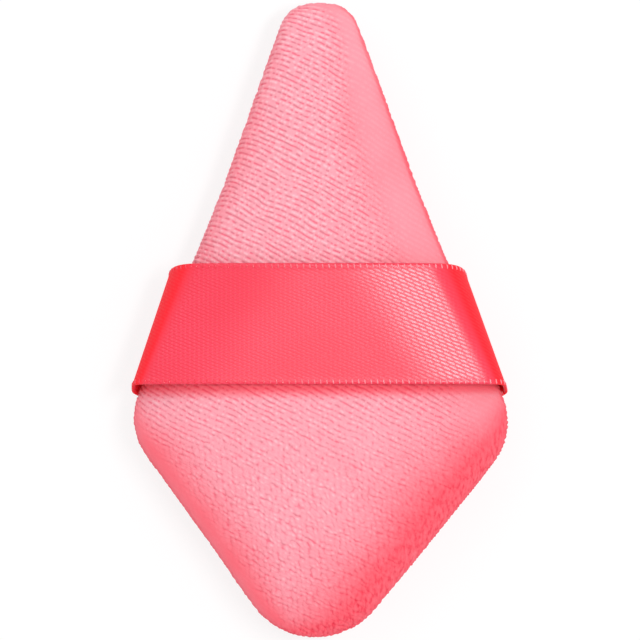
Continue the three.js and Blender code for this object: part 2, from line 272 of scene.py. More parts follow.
def new_group(name, kind, sockets):
    """A node group and its net; sockets is [(in or out, name, type, value)]."""
    tree = bpy.data.node_groups.new(name, kind)
    for way, label, socket_type, value in sockets:
        made = tree.interface.new_socket(
            label, in_out="INPUT" if way == "in" else "OUTPUT", socket_type=socket_type)
        if value is not None:
            made.default_value = value
    net = Net(tree)
    return tree, net, net.node("NodeGroupInput").outputs, net.node("NodeGroupOutput").inputs


FLOAT, VECTOR, GEOMETRY = "NodeSocketFloat", "NodeSocketVector", "NodeSocketGeometry"
OBJECT, WHOLE, FINISH = "NodeSocketObject", "NodeSocketInt", "NodeSocketMaterial"


def named_vector(net, name):
    made = net.node("GeometryNodeInputNamedAttribute", {"Name": name}, data_type="FLOAT_VECTOR")
    return next(s for s in made.outputs if s.type == "VECTOR")


def finished(net, shape, finish):
    """The end of each tree: the shape shaded smooth, as one plain mesh in its finish."""
    shaded = net.node("GeometryNodeSetShadeSmooth", {"Geometry": shape.outputs[0]})
    whole = net.node("GeometryNodeRealizeInstances", {"Geometry": shaded.outputs[0]})
    dressed = net.node("GeometryNodeSetMaterial", {
        "Geometry": whole.outputs[0], "Material": finish})
    return dressed.outputs[0]


def use_tree(target, tree, **values):
    """Adds the tree as a modifier and sets its inputs by their identifiers."""
    modifier = target.modifiers.new(tree.name, "NODES")
    modifier.node_group = tree
    inputs = {s.name: s.identifier for s in tree.interface.items_tree if s.in_out == "INPUT"}
    for label, value in values.items():
        modifier[inputs[label.replace("_", " ")]] = value


# ---------------------------------------------------------------- how the velour's pile lies

PILE_INPUTS = [
    ("Rib Pitch", 0.70), ("Rib Slant", math.radians(27)), ("Groove Reach", 0.23),
    ("Dash Length", 0.85), ("Lump Pitch", 0.54), ("Lump Length", 0.84), ("Waver", 0.45),
]
EVEN_HEIGHT = 0.8  # of pile that is brushed even; the cloth itself lies at this height

# Strides through the noise, so that each groove and each rib is broken in its own places
GROOVE_STRIDE, RIB_STRIDE = 5.31, 3.77

# Ways that the pad's sides and corners face, seen from above
UPPER_RIGHT, UPPER_LEFT = (0.93, 0.37, 0.0), (-0.93, 0.37, 0.0)
LOWER_RIGHT, LOWER_LEFT = (0.6, -0.8, 0.0), (-0.7, -0.71, 0.0)
LEFT_CORNER, LEFT_OF_TIP = (-0.75, -0.66, 0.0), (-0.6, 0.8, 0.0)


def pile_ribs(net, given, along, across):
    """Height of the ribs, and where the broken grooves between them are cut."""
    row = net.over(across, given["Rib Pitch"])
    apart = net.times(net.math("PINGPONG", row, 0.5), given["Rib Pitch"])
    run = net.over(along, given["Dash Length"])
    groove = net.times(net.math("FLOOR", net.plus(row, 0.5)), GROOVE_STRIDE)
    torn = net.noise(net.point(run, groove), 1.4, 1.0)
    shorter = net.noise(net.point(net.times(run, 2.2), groove, 9.0), 1.4, 1.0)
    torn = net.ramp(net.blend(given["Lumps"], torn, shorter), 0.32, 0.58)
    cut = net.times(net.ramp(apart, given["Groove Reach"], 0.02), torn)
    rib = net.times(net.math("FLOOR", row), RIB_STRIDE)
    tuft = net.ramp(net.noise(net.point(run, rib, 4.0), 2.2, 1.0), 0.3, 0.65, 0.15, 1.0)
    crown = net.times(net.ramp(apart, 0.0, 0.36), tuft)
    ribs = net.plus(0.5, net.times(crown, 0.5))
    return net.minus(ribs, net.times(cut, 0.3)), cut


def pile_lumps(net, given, along, across):
    """Height of the short lumps, and where the gaps between them lie open."""
    down = net.over(across, given["Lump Pitch"])
    spot = net.plus(net.over(along, given["Lump Length"]), net.times(down, 0.41))
    spot = net.point(spot, down)
    cells = net.node("ShaderNodeTexVoronoi", {"Vector": spot, "Scale": 1.0, "Randomness": 0.5},
                     voronoi_dimensions="2D")
    away = cells.outputs["Distance"]
    tall = net.ramp(net.noise(spot, 0.7, 1.0), 0.3, 0.7, 0.6, 1.0)
    lumps = net.times(net.ramp(away, 0.62, 0.08), tall)
    open_ways = net.ramp(net.noise(spot, 1.1, 1.0), 0.3, 0.52)
    between = net.times(net.ramp(away, 0.4, 0.7), open_ways)
    lumps = net.plus(0.45, net.times(lumps, 0.55))
    return net.minus(lumps, net.times(between, 0.3)), between


def pile_pattern(kind):
    """Wavy ribs parted by thin broken grooves, that pass into short lumps.

    Height is 0 in a groove and 1 on a rib; Groove is 1 along a groove's middle.
    """
    sockets = [("in", "Place", VECTOR, None)]
    sockets += [("in", label, FLOAT, value) for label, value in PILE_INPUTS]
    sockets += [("in", "Lumps", FLOAT, 0.0), ("in", "Evenness", FLOAT, 0.0),
                ("out", "Height", FLOAT, None), ("out", "Groove", FLOAT, None)]
    use = "mesh" if kind == "GeometryNodeTree" else "finish"
    tree, net, given, result = new_group(f"pile pattern, {use}", kind, sockets)

    place = net.in_mm(given["Place"])
    drift = net.sway(place, 0.15, net.times(given["Waver"], 2.4))
    loose = net.plus(0.5, net.times(given["Lumps"], 1.1))
    wobble = net.sway(place, 0.7, net.times(given["Waver"], loose))
    x, y, _ = net.split(net.vector("ADD", net.vector("ADD", place, drift), wobble))
    slant = given["Rib Slant"]
    along, across = net.slanted(x, y, net.math("COSINE", slant), net.math("SINE", slant))

    ribs, cut = pile_ribs(net, given, along, across)
    lumps, between = pile_lumps(net, given, along, across)
    height = net.blend(net.times(given["Lumps"], 0.75), ribs, lumps)
    net.feed(result["Height"], net.blend(given["Evenness"], height, EVEN_HEIGHT))
    dark = net.blend(net.times(given["Lumps"], 0.6), cut, between)
    net.feed(result["Groove"], net.times(dark, net.minus(1.0, given["Evenness"])))
    return tree


def pile_regions(net, place, facing):
    """Where the pile is short lumps, and where it is brushed even."""
    y = net.split(net.in_mm(place))[1]
    shift = net.times(net.noise(place, 120.0, 2.0), 16.0)
    low = net.ramp(net.plus(y, shift), 2.0, -16.0)
    right = net.ramp(net.toward(facing, UPPER_RIGHT), 0.1, 0.42)
    left = net.ramp(net.toward(facing, LEFT_CORNER), 0.36, 0.66)
    patch = net.ramp(net.noise(place, 260.0, 2.0), 0.55, 0.85, 0.0, 0.2)
    even = net.larger(net.times(net.larger(right, left), 0.85), patch)
    on_walls = net.ramp(net.aside(facing), 0.85, 0.98, 1.0, 0.25)
    return low, net.times(even, on_walls)


pile_on_mesh = pile_pattern("GeometryNodeTree")
pile_in_finish = pile_pattern("ShaderNodeTree")


# ---------------------------------------------------------------- finishes

VELOUR_FACE = (0.925, 0.385, 0.45, 1)
# Paler tops of the pile, partly a painted highlight on ribs and lumps
VELOUR_TOP_AND_HIGHLIGHT = (0.95, 0.52, 0.58, 1)
# Groove colours: the pile's deeper colour, partly painted shade in the grooves
VELOUR_GROOVE = (0.84, 0.11, 0.19, 1)
VELOUR_SHADE = (0.68, 0.155, 0.215, 1)
# Deep colour of the edges: mostly painted shade on the turned sides, from tip to toe and under the
# ribbon, with random clouds and lines
VELOUR_DEEP_AND_SHADED = (0.95, 0.115, 0.155, 1)
VELOUR_DEEP_AND_SHADED_GROOVE = (0.80, 0.035, 0.07, 1)
SATIN_RED = (0.845, 0.022, 0.066, 1)
SATIN_DEEP = (0.78, 0.010, 0.036, 1)
# Painted shade of the ribbon where it turns down
SATIN_SHADED_END = (0.93, 0.003, 0.016, 1)
SATIN_FLOAT = (0.86, 0.045, 0.095, 1)
SATIN_DOT = (0.88, 0.13, 0.18, 1)
# Edge thread: red, and paler pink to the right as a painted highlight
EDGE_RED, EDGE_HIGHLIGHT_PINK = (0.95, 0.045, 0.085, 1), (1.0, 0.28, 0.34, 1)
THREAD_PINK = (0.90, 0.24, 0.31, 1)
FOAM_CREAM = (0.93, 0.88, 0.80, 1)
FOAM_PORE_SHADE = (0.72, 0.63, 0.52, 1)
BLACK, WHITE = (0.0, 0.0, 0.0, 1), (1.0, 1.0, 1.0, 1)


def new_finish(name, constants):
    """A material, its net and its shader's inputs; constants are the same all over the piece."""
    material = bpy.data.materials.new(name)
    material.use_nodes = True
    material.node_tree.nodes.clear()
    net = Net(material.node_tree)
    shader = net.node("ShaderNodeBsdfPrincipled", constants)
    net.node("ShaderNodeOutputMaterial", {"Surface": shader.outputs[0]})
    return material, net, shader.inputs


def add_bump(net, shader, height, strength, distance):
    bump = net.node("ShaderNodeBump", {
        "Height": height, "Strength": strength, "Distance": distance * MM})
    net.feed(shader["Normal"], bump.outputs[0])


def fibre_group():
    """Fine fibres: a grain for colour and for bump, longer one way."""
    tree, net, given, result = new_group("fine fibres", "ShaderNodeTree", [
        ("in", "Place", VECTOR, None), ("in", "Size", FLOAT, 0.2), ("in", "Stretch", FLOAT, 1.0),
        ("out", "Grain", FLOAT, None)])
    place = net.in_mm(given["Place"])
    place = net.vector("MULTIPLY", place, net.point(1.0, given["Stretch"], given["Stretch"]))
    fine = net.noise(place, net.over(1.0, given["Size"]), 3.0, 0.65)
    net.feed(result["Grain"], net.ramp(fine, 0.3, 0.7))
    return tree


fine_fibres = fibre_group()


def add_group(net, tree, kind="ShaderNodeGroup", **inputs):
    """The outputs of a group that is placed in the net, with its inputs given by name."""
    made = net.node(kind, node_tree=tree)
    for label, value in inputs.items():
        net.feed(made.inputs[label.replace("_", " ")], value)
    return made.outputs


def stored(net, name):
    """A vector that the piece's mesh carries."""
    return net.node("ShaderNodeAttribute", attribute_name=name).outputs["Vector"]


def painted_side_shade(net, facing, side_shade_reach):
    """Painted shade on the turned sides, where less light falls: most on the lower ones, least by
    the tip.
    """
    low_right = net.ramp(net.toward(facing, LOWER_RIGHT), 0.0, side_shade_reach)
    low_left = net.ramp(net.toward(facing, LOWER_LEFT), 0.12, 0.6, 0.0, 0.82)
    up_right = net.ramp(net.toward(facing, UPPER_RIGHT), 0.0, 0.3, 0.0, 0.36)
    aside = net.aside(facing)
    all_round = net.ramp(aside, 0.25, 0.75, 0.0, 0.42)
    rim = net.times(net.ramp(aside, 0.62, 0.95, 0.0, 0.88),
                    net.ramp(net.toward(facing, LEFT_OF_TIP), 0.3, 0.75, 1.0, 0.35))
    depth = low_right
    for part in (low_left, up_right, all_round, rim):
        depth = net.larger(depth, part)
    return depth


def pile_lines(net, place, facing):
    """Clouds all over the pile, and long lines along the lower right side."""
    lines = net.vector("MULTIPLY", net.in_mm(place), (1.0, 0.16, 1.0))
    lines = net.ramp(net.noise(lines, 1.9, 2.0), 0.35, 0.65, -0.16, 0.16)
    lines = net.times(lines, net.ramp(net.toward(facing, LOWER_RIGHT), 0.3, 0.8))
    return net.ramp(net.noise(place, 110.0, 3.0), 0.3, 0.7, -0.05, 0.07), lines


def painted_light_drift(net, facing, y):
    """Painted light and shade, slow over the pad: deeper to the toe, paler to the tip and on the
    upper left, where the light comes from.
    """
    drift = net.ramp(y, 0.0, -20.0, 0.0, 0.055)
    drift = net.minus(drift, net.ramp(net.toward(facing, UPPER_LEFT), 0.1, 0.6, 0.0, 0.14))
    return net.minus(drift, net.ramp(y, 25.0, 38.0, 0.0, 0.1))


def brushed_flecks(net, place, facing):
    """Small flecks, and where they show: the brushed pile on the lower right side."""
    flecks = net.vector("MULTIPLY", net.in_mm(place), (1.0, 0.4, 1.0))
    brushed = net.times(net.ramp(net.toward(facing, LOWER_RIGHT), 0.15, 0.6),
                        net.ramp(net.aside(facing), 0.86, 0.97, 1.0, 0.3))
    return net.noise(flecks, 2.4, 3.0), brushed


def velour_finish(name, side_shade_reach):
    """Pile fabric: pale where the pile stands up, partly a painted highlight; deeper in its
    grooves, partly painted shade; painted shade round its edges.
    """
    material, net, shader = new_finish(name, {
        "Roughness": 0.92, "Specular IOR Level": 0.1, "Sheen Weight": 0.1, "Sheen Roughness": 0.5,
        "Sheen Tint": (1.0, 0.55, 0.62, 1)})
    place, facing = stored(net, "cloth_place"), stored(net, "facing")
    y = net.split(net.in_mm(net.node("ShaderNodeTexCoord").outputs["Object"]))[1]
    low, even = pile_regions(net, place, facing)
    pile = add_group(net, pile_in_finish, Place=place, Lumps=low, Evenness=even)
    height, groove = pile["Height"], pile["Groove"]
    grain = add_group(net, fine_fibres, Place=place, Size=0.14, Stretch=1.6)["Grain"]
    flecks, brushed = brushed_flecks(net, place, facing)

    # share of the edge's colour: painted shade on the sides, painted light and shade from tip to
    # toe, and nearly all of it as a painted shadow along the ribbon's lower edge
    cloud, lines = pile_lines(net, place, facing)
    # painted shade on the turned sides, with random clouds and lines
    edge = net.plus(net.plus(painted_side_shade(net, facing, side_shade_reach), cloud), lines, clamp=True)
    # painted light and shade from tip to toe
    edge = net.plus(edge, painted_light_drift(net, facing, y), clamp=True)
    thinner = net.times(net.ramp(flecks, 0.32, 0.55, 0.13, 0.0), brushed)
    edge = net.minus(edge, thinner, clamp=True)
    # painted shadow of the ribbon: a band of deep colour across both covers along its lower edge
    shadow = net.times(net.ramp(y, -10.9, -8.9), net.ramp(y, -6.5, -8.0))
    edge = net.larger(edge, net.times(shadow, 0.95))

    # share of the dark colour: grooves and low pile, partly painted shade in these hollows, with
    # loose fibres and parted pile
    uneven = net.times(net.minus(grain, 0.5), 0.36)
    depth = net.times(net.ramp(groove, 0.15, 0.95), 0.5)
    deep = net.plus(depth, net.ramp(height, 0.8, 0.3, 0.0, 0.18))
    deep = net.plus(deep, uneven, clamp=True)
    parted = net.times(net.ramp(flecks, 0.48, 0.66, 0.0, 0.6), brushed)
    deep = net.plus(deep, parted, clamp=True)

    # paler where the pile stands up, partly a painted highlight, and painted shade round the edges
    pale = net.tint(net.ramp(height, 0.72, 0.98), VELOUR_FACE, VELOUR_TOP_AND_HIGHLIGHT)
    pale = net.tint(edge, pale, VELOUR_DEEP_AND_SHADED)
    shade = net.ramp(net.noise(place, 800.0, 1.0), 0.4, 0.62)
    dark = net.tint(edge, net.tint(shade, VELOUR_GROOVE, VELOUR_SHADE), VELOUR_DEEP_AND_SHADED_GROOVE)
    net.feed(shader["Base Color"], net.tint(deep, pale, dark))
    rise = net.plus(net.times(height, 0.6), net.times(grain, 0.4))
    add_bump(net, shader, rise, 0.4, 0.12)
    return material


SATIN_SLANT = math.radians(23)
FLOAT_PITCH, FLOAT_LENGTH, FLOAT_STEP = 0.44, 1.2, 0.38
DOT_ACROSS, DOT_DOWN = 0.6, 0.42


def satin_floats(net, x, y):
    """Slanting rows of floats: 1 on the middle of a float, 0 where its thread goes under."""
    along, across = net.slanted(x, y, math.cos(SATIN_SLANT), math.sin(SATIN_SLANT))
    row = net.over(across, FLOAT_PITCH)
    step = net.times(net.math("FLOOR", row), FLOAT_STEP)
    run = net.plus(net.over(along, FLOAT_LENGTH), step)
    crest = net.times(net.math("PINGPONG", row, 0.5), 2.0)
    tuck = net.times(net.math("PINGPONG", run, 0.5), 2.0)
    return net.times(net.math("POWER", crest, 0.7), net.math("POWER", tuck, 0.2))


def satin_dots(net, x, y):
    """Where the other thread shows: dots in columns, each column half a step further down."""
    column = net.over(x, DOT_ACROSS)
    down = net.plus(net.over(y, DOT_DOWN), net.times(net.math("FLOOR", column), 0.5))
    return net.times(net.ramp(net.math("PINGPONG", column, 0.5), 0.2, 0.42),
                     net.ramp(net.math("PINGPONG", down, 0.5), 0.15, 0.42))


def satin_finish():
    """Satin weave: slanting rows of short glossy floats, with painted shade where the ribbon turns
    down, away from the light.
    """
    material, net, shader = new_finish("coral satin", {
        "Specular IOR Level": 0.7, "Specular Tint": (1.0, 0.8, 0.84, 1)})
    place, facing = stored(net, "cloth_place"), stored(net, "facing")
    grain = add_group(net, fine_fibres, Place=place, Size=0.12, Stretch=3.0)["Grain"]
    woven = net.in_mm(place)
    x, y, _ = net.split(net.vector("ADD", woven, net.sway(woven, 0.5, 0.16)))
    floats = satin_floats(net, x, y)
    level = net.math("ABSOLUTE", net.split(facing)[2])
    turned = net.ramp(level, 0.995, 0.7)
    lying = net.minus(1.0, net.ramp(level, 0.97, 0.8))

    shown = net.times(net.ramp(floats, 0.75, 0.1), lying)
    colour = net.tint(0.8, SATIN_RED, net.tint(shown, SATIN_FLOAT, SATIN_DEEP))
    dots = net.times(satin_dots(net, x, y), lying)
    colour = net.tint(net.times(dots, 0.3), colour, SATIN_DOT)
    tone = net.ramp(net.noise(place, 90.0, 2.0), 0.3, 0.7, 0.0, 0.3)
    colour = net.tint(tone, colour, SATIN_DEEP)
    # painted shade: deeper red where the ribbon turns down, away from the light
    net.feed(shader["Base Color"], net.tint(turned, colour, SATIN_SHADED_END))

    rough = net.plus(net.ramp(floats, 0.85, 0.2, 0.25, 0.42), net.times(grain, 0.04))
    net.feed(shader["Roughness"], net.plus(rough, net.times(turned, 0.45), clamp=True))
    rise = net.plus(net.times(floats, 0.8), net.times(grain, 0.2))
    add_bump(net, shader, rise, 0.09, 0.05)
    return material


def thread_finish(name, left, right, strand, roughness, sheen):
    """Twisted thread: strands that wind round it, with fine fibres.

    Its colour passes from left to right across the pad; on the ribbon's edge thread the paler right
    colour is a painted highlight where the ribbon's highlight falls.
    """
    material, net, shader = new_finish(name, {"Roughness": roughness, "Sheen Weight": sheen})
    place = net.node("ShaderNodeTexCoord").outputs["Object"]
    grain = add_group(net, fine_fibres, Place=place, Size=0.09, Stretch=1.0)["Grain"]
    tilt = (0.0, math.radians(35), math.radians(40))
    turn = net.node("ShaderNodeMapping", {"Vector": place, "Rotation": tilt})
    waves = net.node("ShaderNodeTexWave", {
        "Vector": turn.outputs[0], "Scale": strand / MM, "Distortion": 1.2}).outputs["Fac"]
    shade = net.plus(net.times(waves, 0.38), net.times(grain, 0.17))
    x = net.split(net.in_mm(place))[0]
    # for the edge thread a painted highlight towards +X
    colour = net.tint(net.ramp(x, -16.0, 8.0), left, right)
    net.feed(shader["Base Color"], net.tint(net.times(shade, 0.38), colour, BLACK))
    add_bump(net, shader, waves, 0.4, 0.05)
    return material


def foam_finish():
    """Open-celled foam: small pores in a cream colour, darker in the pores as painted shade."""
    material, net, shader = new_finish("cream foam", {"Roughness": 0.9})
    place = net.node("ShaderNodeTexCoord").outputs["Object"]
    grain = add_group(net, fine_fibres, Place=place, Size=0.3, Stretch=1.0)["Grain"]
    cells = net.node("ShaderNodeTexVoronoi", {"Vector": place, "Scale": 1.7 / MM},
                     feature="DISTANCE_TO_EDGE")
    wall = net.ramp(cells.outputs["Distance"], 0.02, 0.22)
    wall = net.plus(wall, net.times(grain, 0.15), clamp=True)
    # painted shade in the pores' hollows
    net.feed(shader["Base Color"], net.tint(wall, FOAM_CREAM, FOAM_PORE_SHADE))
    add_bump(net, shader, net.minus(1.0, wall), 0.5, 0.2)
    return material


strap_velour = velour_finish("pink velour, strap side", side_shade_reach=0.48)
powder_velour = velour_finish("pink velour, powder side", side_shade_reach=0.55)
coral_satin = satin_finish()
edge_thread = thread_finish("satin edge thread", EDGE_RED, EDGE_HIGHLIGHT_PINK,
                            strand=1.6, roughness=0.2, sheen=0.0)
pink_thread = thread_finish("pink sewing thread", THREAD_PINK, THREAD_PINK,
                            strand=1.1, roughness=0.55, sheen=0.15)
cream_foam = foam_finish()


# ---------------------------------------------------------------- outline of the pad


def side_angle(a, b):
    """Direction that the straight side from circle a to the next clockwise circle b faces."""
    across = math.hypot(b[0] - a[0], b[1] - a[1])
    heading = math.atan2(b[1] - a[1], b[0] - a[0])
    return heading + math.acos((a[2] - b[2]) / across)


def rim_side(a, b, before, after, fine=200):
    """Stations from the middle of corner a's arc to that of corner b's: x, y, radius, angle."""
    face = side_angle(a, b)
    start = side_angle(before, a)
    end = side_angle(b, after)
    while start < face:
        start += 2 * math.pi
    while end > face:
        end -= 2 * math.pi
    start, end = (start + face) / 2, (end + face) / 2
    turn = np.linspace(0, 1, fine)
    first = [np.full(fine, v) for v in a] + [start + (face - start) * turn]
    last = [np.full(fine, v) for v in b] + [face + (end - face) * turn]
    return np.concatenate([np.array(first).T, np.array(last).T])


def rim_points(stations, inset=0.0):
    reach = stations[:, 2] - inset
    return np.stack([stations[:, 0] + reach * np.cos(stations[:, 3]),
                     stations[:, 1] + reach * np.sin(stations[:, 3])], 1)


def lengths_along(points):
    """Length from the first point to each of them."""
    return np.concatenate([[0], np.cumsum(np.linalg.norm(np.diff(points, axis=0), axis=1))])


def even_stations(stations, count):
    """The same side with its stations at equal steps along it."""
    run = lengths_along(rim_points(stations))
    at = np.linspace(0, run[-1], count + 1)
    return np.stack([np.interp(at, run, stations[:, k]) for k in range(4)], 1)


def corner(index):
    return CORNERS[index % 4]


def pad_side(index, count):
    a, b = corner(index), corner(index + 1)
    return even_stations(rim_side(a, b, corner(index - 1), corner(index + 2)), count)


CELLS, FINE_CELLS = 46, 400  # to each side of the pad
GRID = CELLS + 1
GRID_EVENING = 600

sides = [pad_side(k, CELLS) for k in range(4)]
rim_all = np.concatenate([pad_side(k, FINE_CELLS)[:-1] for k in range(4)])
rim_all_points = rim_points(rim_all)
rim_polar = np.arctan2(*(rim_all_points - CROWN_CENTRE).T[::-1])
polar_order = np.argsort(rim_polar)


def round_rim(angles, values):
    """Values of the rim, read at directions from the crown's centre."""
    return np.interp(angles, rim_polar[polar_order], values[polar_order], period=2 * math.pi)


rim_reach = np.linalg.norm(rim_all_points - CROWN_CENTRE, axis=1)
rim_normal = np.stack([np.cos(rim_all[:, 3]), np.sin(rim_all[:, 3])], 1)


def half_widths():
    """Half the pad's width right and left, at steps along it."""
    steps = np.linspace(-45, 45, 181)
    found = []
    for way in (1, -1):
        half = rim_all_points[rim_all_points[:, 0] * way > 0]
        half = half[np.argsort(half[:, 1])]
        found.append(np.interp(steps, half[:, 1], half[:, 0] * way))
    return steps, found


WIDTH_Y, (WIDTH_RIGHT, WIDTH_LEFT) = half_widths()


def trimmed(places):
    """The places moved out or in with the sewn outline, the more the nearer they are to it."""
    x, y = places[:, 0], places[:, 1]
    on_right = x > 0
    wide = np.where(on_right, np.interp(y, WIDTH_Y, WIDTH_RIGHT), np.interp(y, WIDTH_Y, WIDTH_LEFT))
    step = np.where(on_right, np.interp(y, TRIM_Y, TRIM_RIGHT), np.interp(y, TRIM_Y, TRIM_LEFT))
    share = np.clip(np.abs(x) / np.maximum(wide, 1.0), 0, 1)
    moved = places.copy()
    moved[:, 0] += np.sign(x) * step * share ** 1.5
    return moved


def evened(grid, rounds):
    """The grid with each of its inner points drawn between its four neighbours, over and over."""
    for _ in range(rounds):
        grid[1:-1, 1:-1] = (grid[2:, 1:-1] + grid[:-2, 1:-1] + grid[1:-1, 2:] + grid[1:-1, :-2]) / 4
    return grid


def flat_grid():
    """Even grid over the outline, as a square whose corners are the pad's four corners."""
    grid = np.zeros((GRID, GRID, 2))
    right_upper, right_lower, left_lower, left_upper = [rim_points(s) for s in sides]
    grid[:, 0] = right_upper
    grid[-1, :] = right_lower
    grid[:, -1] = left_lower[::-1]
    grid[0, :] = left_upper[::-1]
    share = np.linspace(0, 1, GRID)
    u, v = share[:, None, None], share[None, :, None]
    bottom, top, start, end = grid[:, :1], grid[:, -1:], grid[:1], grid[-1:]
    inside = ((1 - v) * bottom + v * top + (1 - u) * start + u * end
              - (1 - u) * (1 - v) * grid[0, 0] - u * (1 - v) * grid[-1, 0]
              - (1 - u) * v * grid[0, -1] - u * v * grid[-1, -1])
    grid[1:-1, 1:-1] = inside[1:-1, 1:-1]
    return evened(grid, GRID_EVENING).reshape(-1, 2)


def grid_faces(start=0, flip=False):
    """Faces between the grid's points, numbered from the start; flip turns them over."""
    at = start + np.arange(GRID * GRID).reshape(GRID, GRID)
    quads = np.stack([at[:-1, :-1], at[1:, :-1], at[1:, 1:], at[:-1, 1:]], -1).reshape(-1, 4)
    return quads if flip else quads[:, ::-1]


def grid_ring():
    """The points round the edge of the grid, in order."""
    at = np.arange(GRID * GRID).reshape(GRID, GRID)
    return np.concatenate([at[:-1, 0], at[-1, :-1], at[:0:-1, -1], at[0, :0:-1]])


GRID_RING = grid_ring()

flat = flat_grid()
flat_from_centre = flat - CROWN_CENTRE
flat_angle = np.arctan2(flat_from_centre[:, 1], flat_from_centre[:, 0])
flat_reach = round_rim(flat_angle, rim_reach)
flat_share = np.minimum(np.linalg.norm(flat_from_centre, axis=1) / flat_reach, 1)
flat_share[GRID_RING] = 1


# ---------------------------------------------------------------- how the ribbon bends

WIDTH_STEPS, LENGTH_STEPS = 33, 1600
SOFTEN_SHOULDER, SOFTEN_WRAP = 151, 61


def softened(row, count):
    """The row of values, each evened out with those beside it; count is odd."""
    window = np.hanning(count)
    return np.convolve(np.pad(row, count // 2, "edge"), window / window.sum(), "valid")


class Bend:
    """One half of the ribbon: it arches out from the middle, turns down and wraps in to the seam.

    Its bends run along lines that slant with the pad's side and fan out towards the middle.
    Two tables hold the reach and height of each row of the ribbon, by the length along it.
    """

    def __init__(self, fold, stand):
        self.out_x, self.out_y = math.cos(fold), math.sin(fold)
        self.reach = max(abs(x) * self.out_x + (y + RIBBON_BACK) * self.out_y + radius
                         for x, y, radius in CORNERS)
        rows = [self.bend_marks(share, stand) for share in np.linspace(0, 1, WIDTH_STEPS)]
        self.seams = np.array([marks[4] for _, marks, _ in rows])
        self.lengths = self.seams + TAB_LENGTH
        self.run = np.linspace(0, self.lengths.max(), LENGTH_STEPS)
        step = self.run[1]
        outs, heights = [], []
        for start, marks, turns in rows:
            arch = ARCH_TURN * eased((self.run - start) / (marks[1] - start))
            turn = np.where(self.run < marks[1], arch, np.interp(self.run, marks, turns))
            wrapping = eased((self.run - marks[2]) / WRAP_RADIUS)
            turn = (softened(turn, SOFTEN_SHOULDER) * (1 - wrapping)
                    + softened(turn, SOFTEN_WRAP) * wrapping)
            out = np.cumsum(np.cos(turn)) * step
            drop = np.cumsum(np.sin(turn)) * step
            short = self.reach - DRAW_IN - np.interp(marks[4], self.run, out)
            outs.append(out + short * eased((self.run - start) / (marks[4] - start)))
            heights.append(SEAM_Z + drop[-1] - drop)
        self.outs, self.heights = np.array(outs), np.array(heights)

    def bend_marks(self, share, stand):
        """Where a row starts to bend, the lengths at which its bends change, its turn at each."""
        radius = SHOULDER_LOW + (SHOULDER_TOP - SHOULDER_LOW) * share
        start = BEND_START_LOW + (BEND_START_TOP - BEND_START_LOW) * share
        shoulder = self.reach + stand - radius
        bend_end = shoulder + radius * math.sin(ARCH_TURN)
        middle_z = RIBBON_LOW_Z + (RIBBON_TOP_Z - RIBBON_LOW_Z) * share
        shoulder_z = middle_z - ARCH_TURN * (bend_end - start) / 2 - radius * math.cos(ARCH_TURN)
        aside = self.reach - DRAW_IN - shoulder
        below = SEAM_Z + WRAP_RADIUS - shoulder_z
        leg = math.sqrt(aside ** 2 + below ** 2 - (radius - WRAP_RADIUS) ** 2)
        leg_turn = math.atan2(aside, below) - math.atan2(leg, radius - WRAP_RADIUS)
        over_shoulder = radius * (leg_turn - ARCH_TURN)
        wrap = WRAP_RADIUS * (math.pi - leg_turn)
        marks = np.cumsum([0, bend_end, over_shoulder, leg, wrap])
        return start, marks, [0, ARCH_TURN, leg_turn, leg_turn, math.pi]

    def at(self, length, share):
        """Reach and height at a length from the middle and a share of the way to the upper edge."""
        row = np.clip(share, 0, 1) * (WIDTH_STEPS - 1)
        column = np.clip(length / self.run[1], 0, LENGTH_STEPS - 1)
        row_under = np.minimum(row.astype(int), WIDTH_STEPS - 2)
        column_under = np.minimum(column.astype(int), LENGTH_STEPS - 2)
        row_part, column_part = row - row_under, column - column_under
        found = []
        for table in (self.outs, self.heights):
            ends = [table[row_under + k, column_under] * (1 - column_part)
                    + table[row_under + k, column_under + 1] * column_part for k in (0, 1)]
            found.append(ends[0] * (1 - row_part) + ends[1] * row_part)
        return found

    def place(self, x, y):
        """Place of a point of the ribbon laid flat: x from its middle and y across."""
        length = x * self.out_x + y * self.out_y
        out, z = self.at(np.abs(length), y / RIBBON_WIDTH + 0.5)
        out = out * np.sign(length)
        held = LEG_HOLD * (0.5 - y / RIBBON_WIDTH) * (length - out)
        along = (y - (length - held) * self.out_y) / self.out_x
        return np.stack([along * -self.out_y + out * self.out_x,
                         along * self.out_x + out * self.out_y - RIBBON_BACK, z], -1)

    def end(self, y, lengths):
        """Distance along the flat ribbon at which a row reaches one of its lengths."""
        row_length = np.interp(y / RIBBON_WIDTH + 0.5, np.linspace(0, 1, WIDTH_STEPS), lengths)
        return (row_length - y * self.out_y) / self.out_x


right_bend = Bend(FOLD_RIGHT, STAND_RIGHT)
left_bend = Bend(FOLD_LEFT, STAND_LEFT)


def ribbon_place(x, y):
    """Place on the bent ribbon of a point of the ribbon laid flat: x along it and y across."""
    halves = []
    for bend, way in ((left_bend, -1), (right_bend, 1)):
        half = bend.place(np.maximum(x * way, 0), y) * (way, 1, 1)
        middle = bend.place(np.zeros_like(y), y)[..., 2]
        halves.append((half, middle))
    (left, left_middle), (right, right_middle) = halves
    share = eased(x / RIBBON_WIDTH + 0.5)
    middle = left_middle + (right_middle - left_middle) * share
    found = np.where((x > 0)[..., None], right, left)
    found[..., 2] += middle - np.where(x > 0, right_middle, left_middle)
    return found


def ribbon_ends(y, tab=True):
    """Distances along the flat ribbon of its left and right end, or of the seam it is caught in."""
    return [bend.end(y, bend.lengths if tab else bend.seams) for bend in (left_bend, right_bend)]


RIBBON_MEETS_Y = float(ribbon_place(ribbon_ends(np.zeros(1), tab=False)[1], np.zeros(1))[0, 1])


# ---------------------------------------------------------------- form of the pad

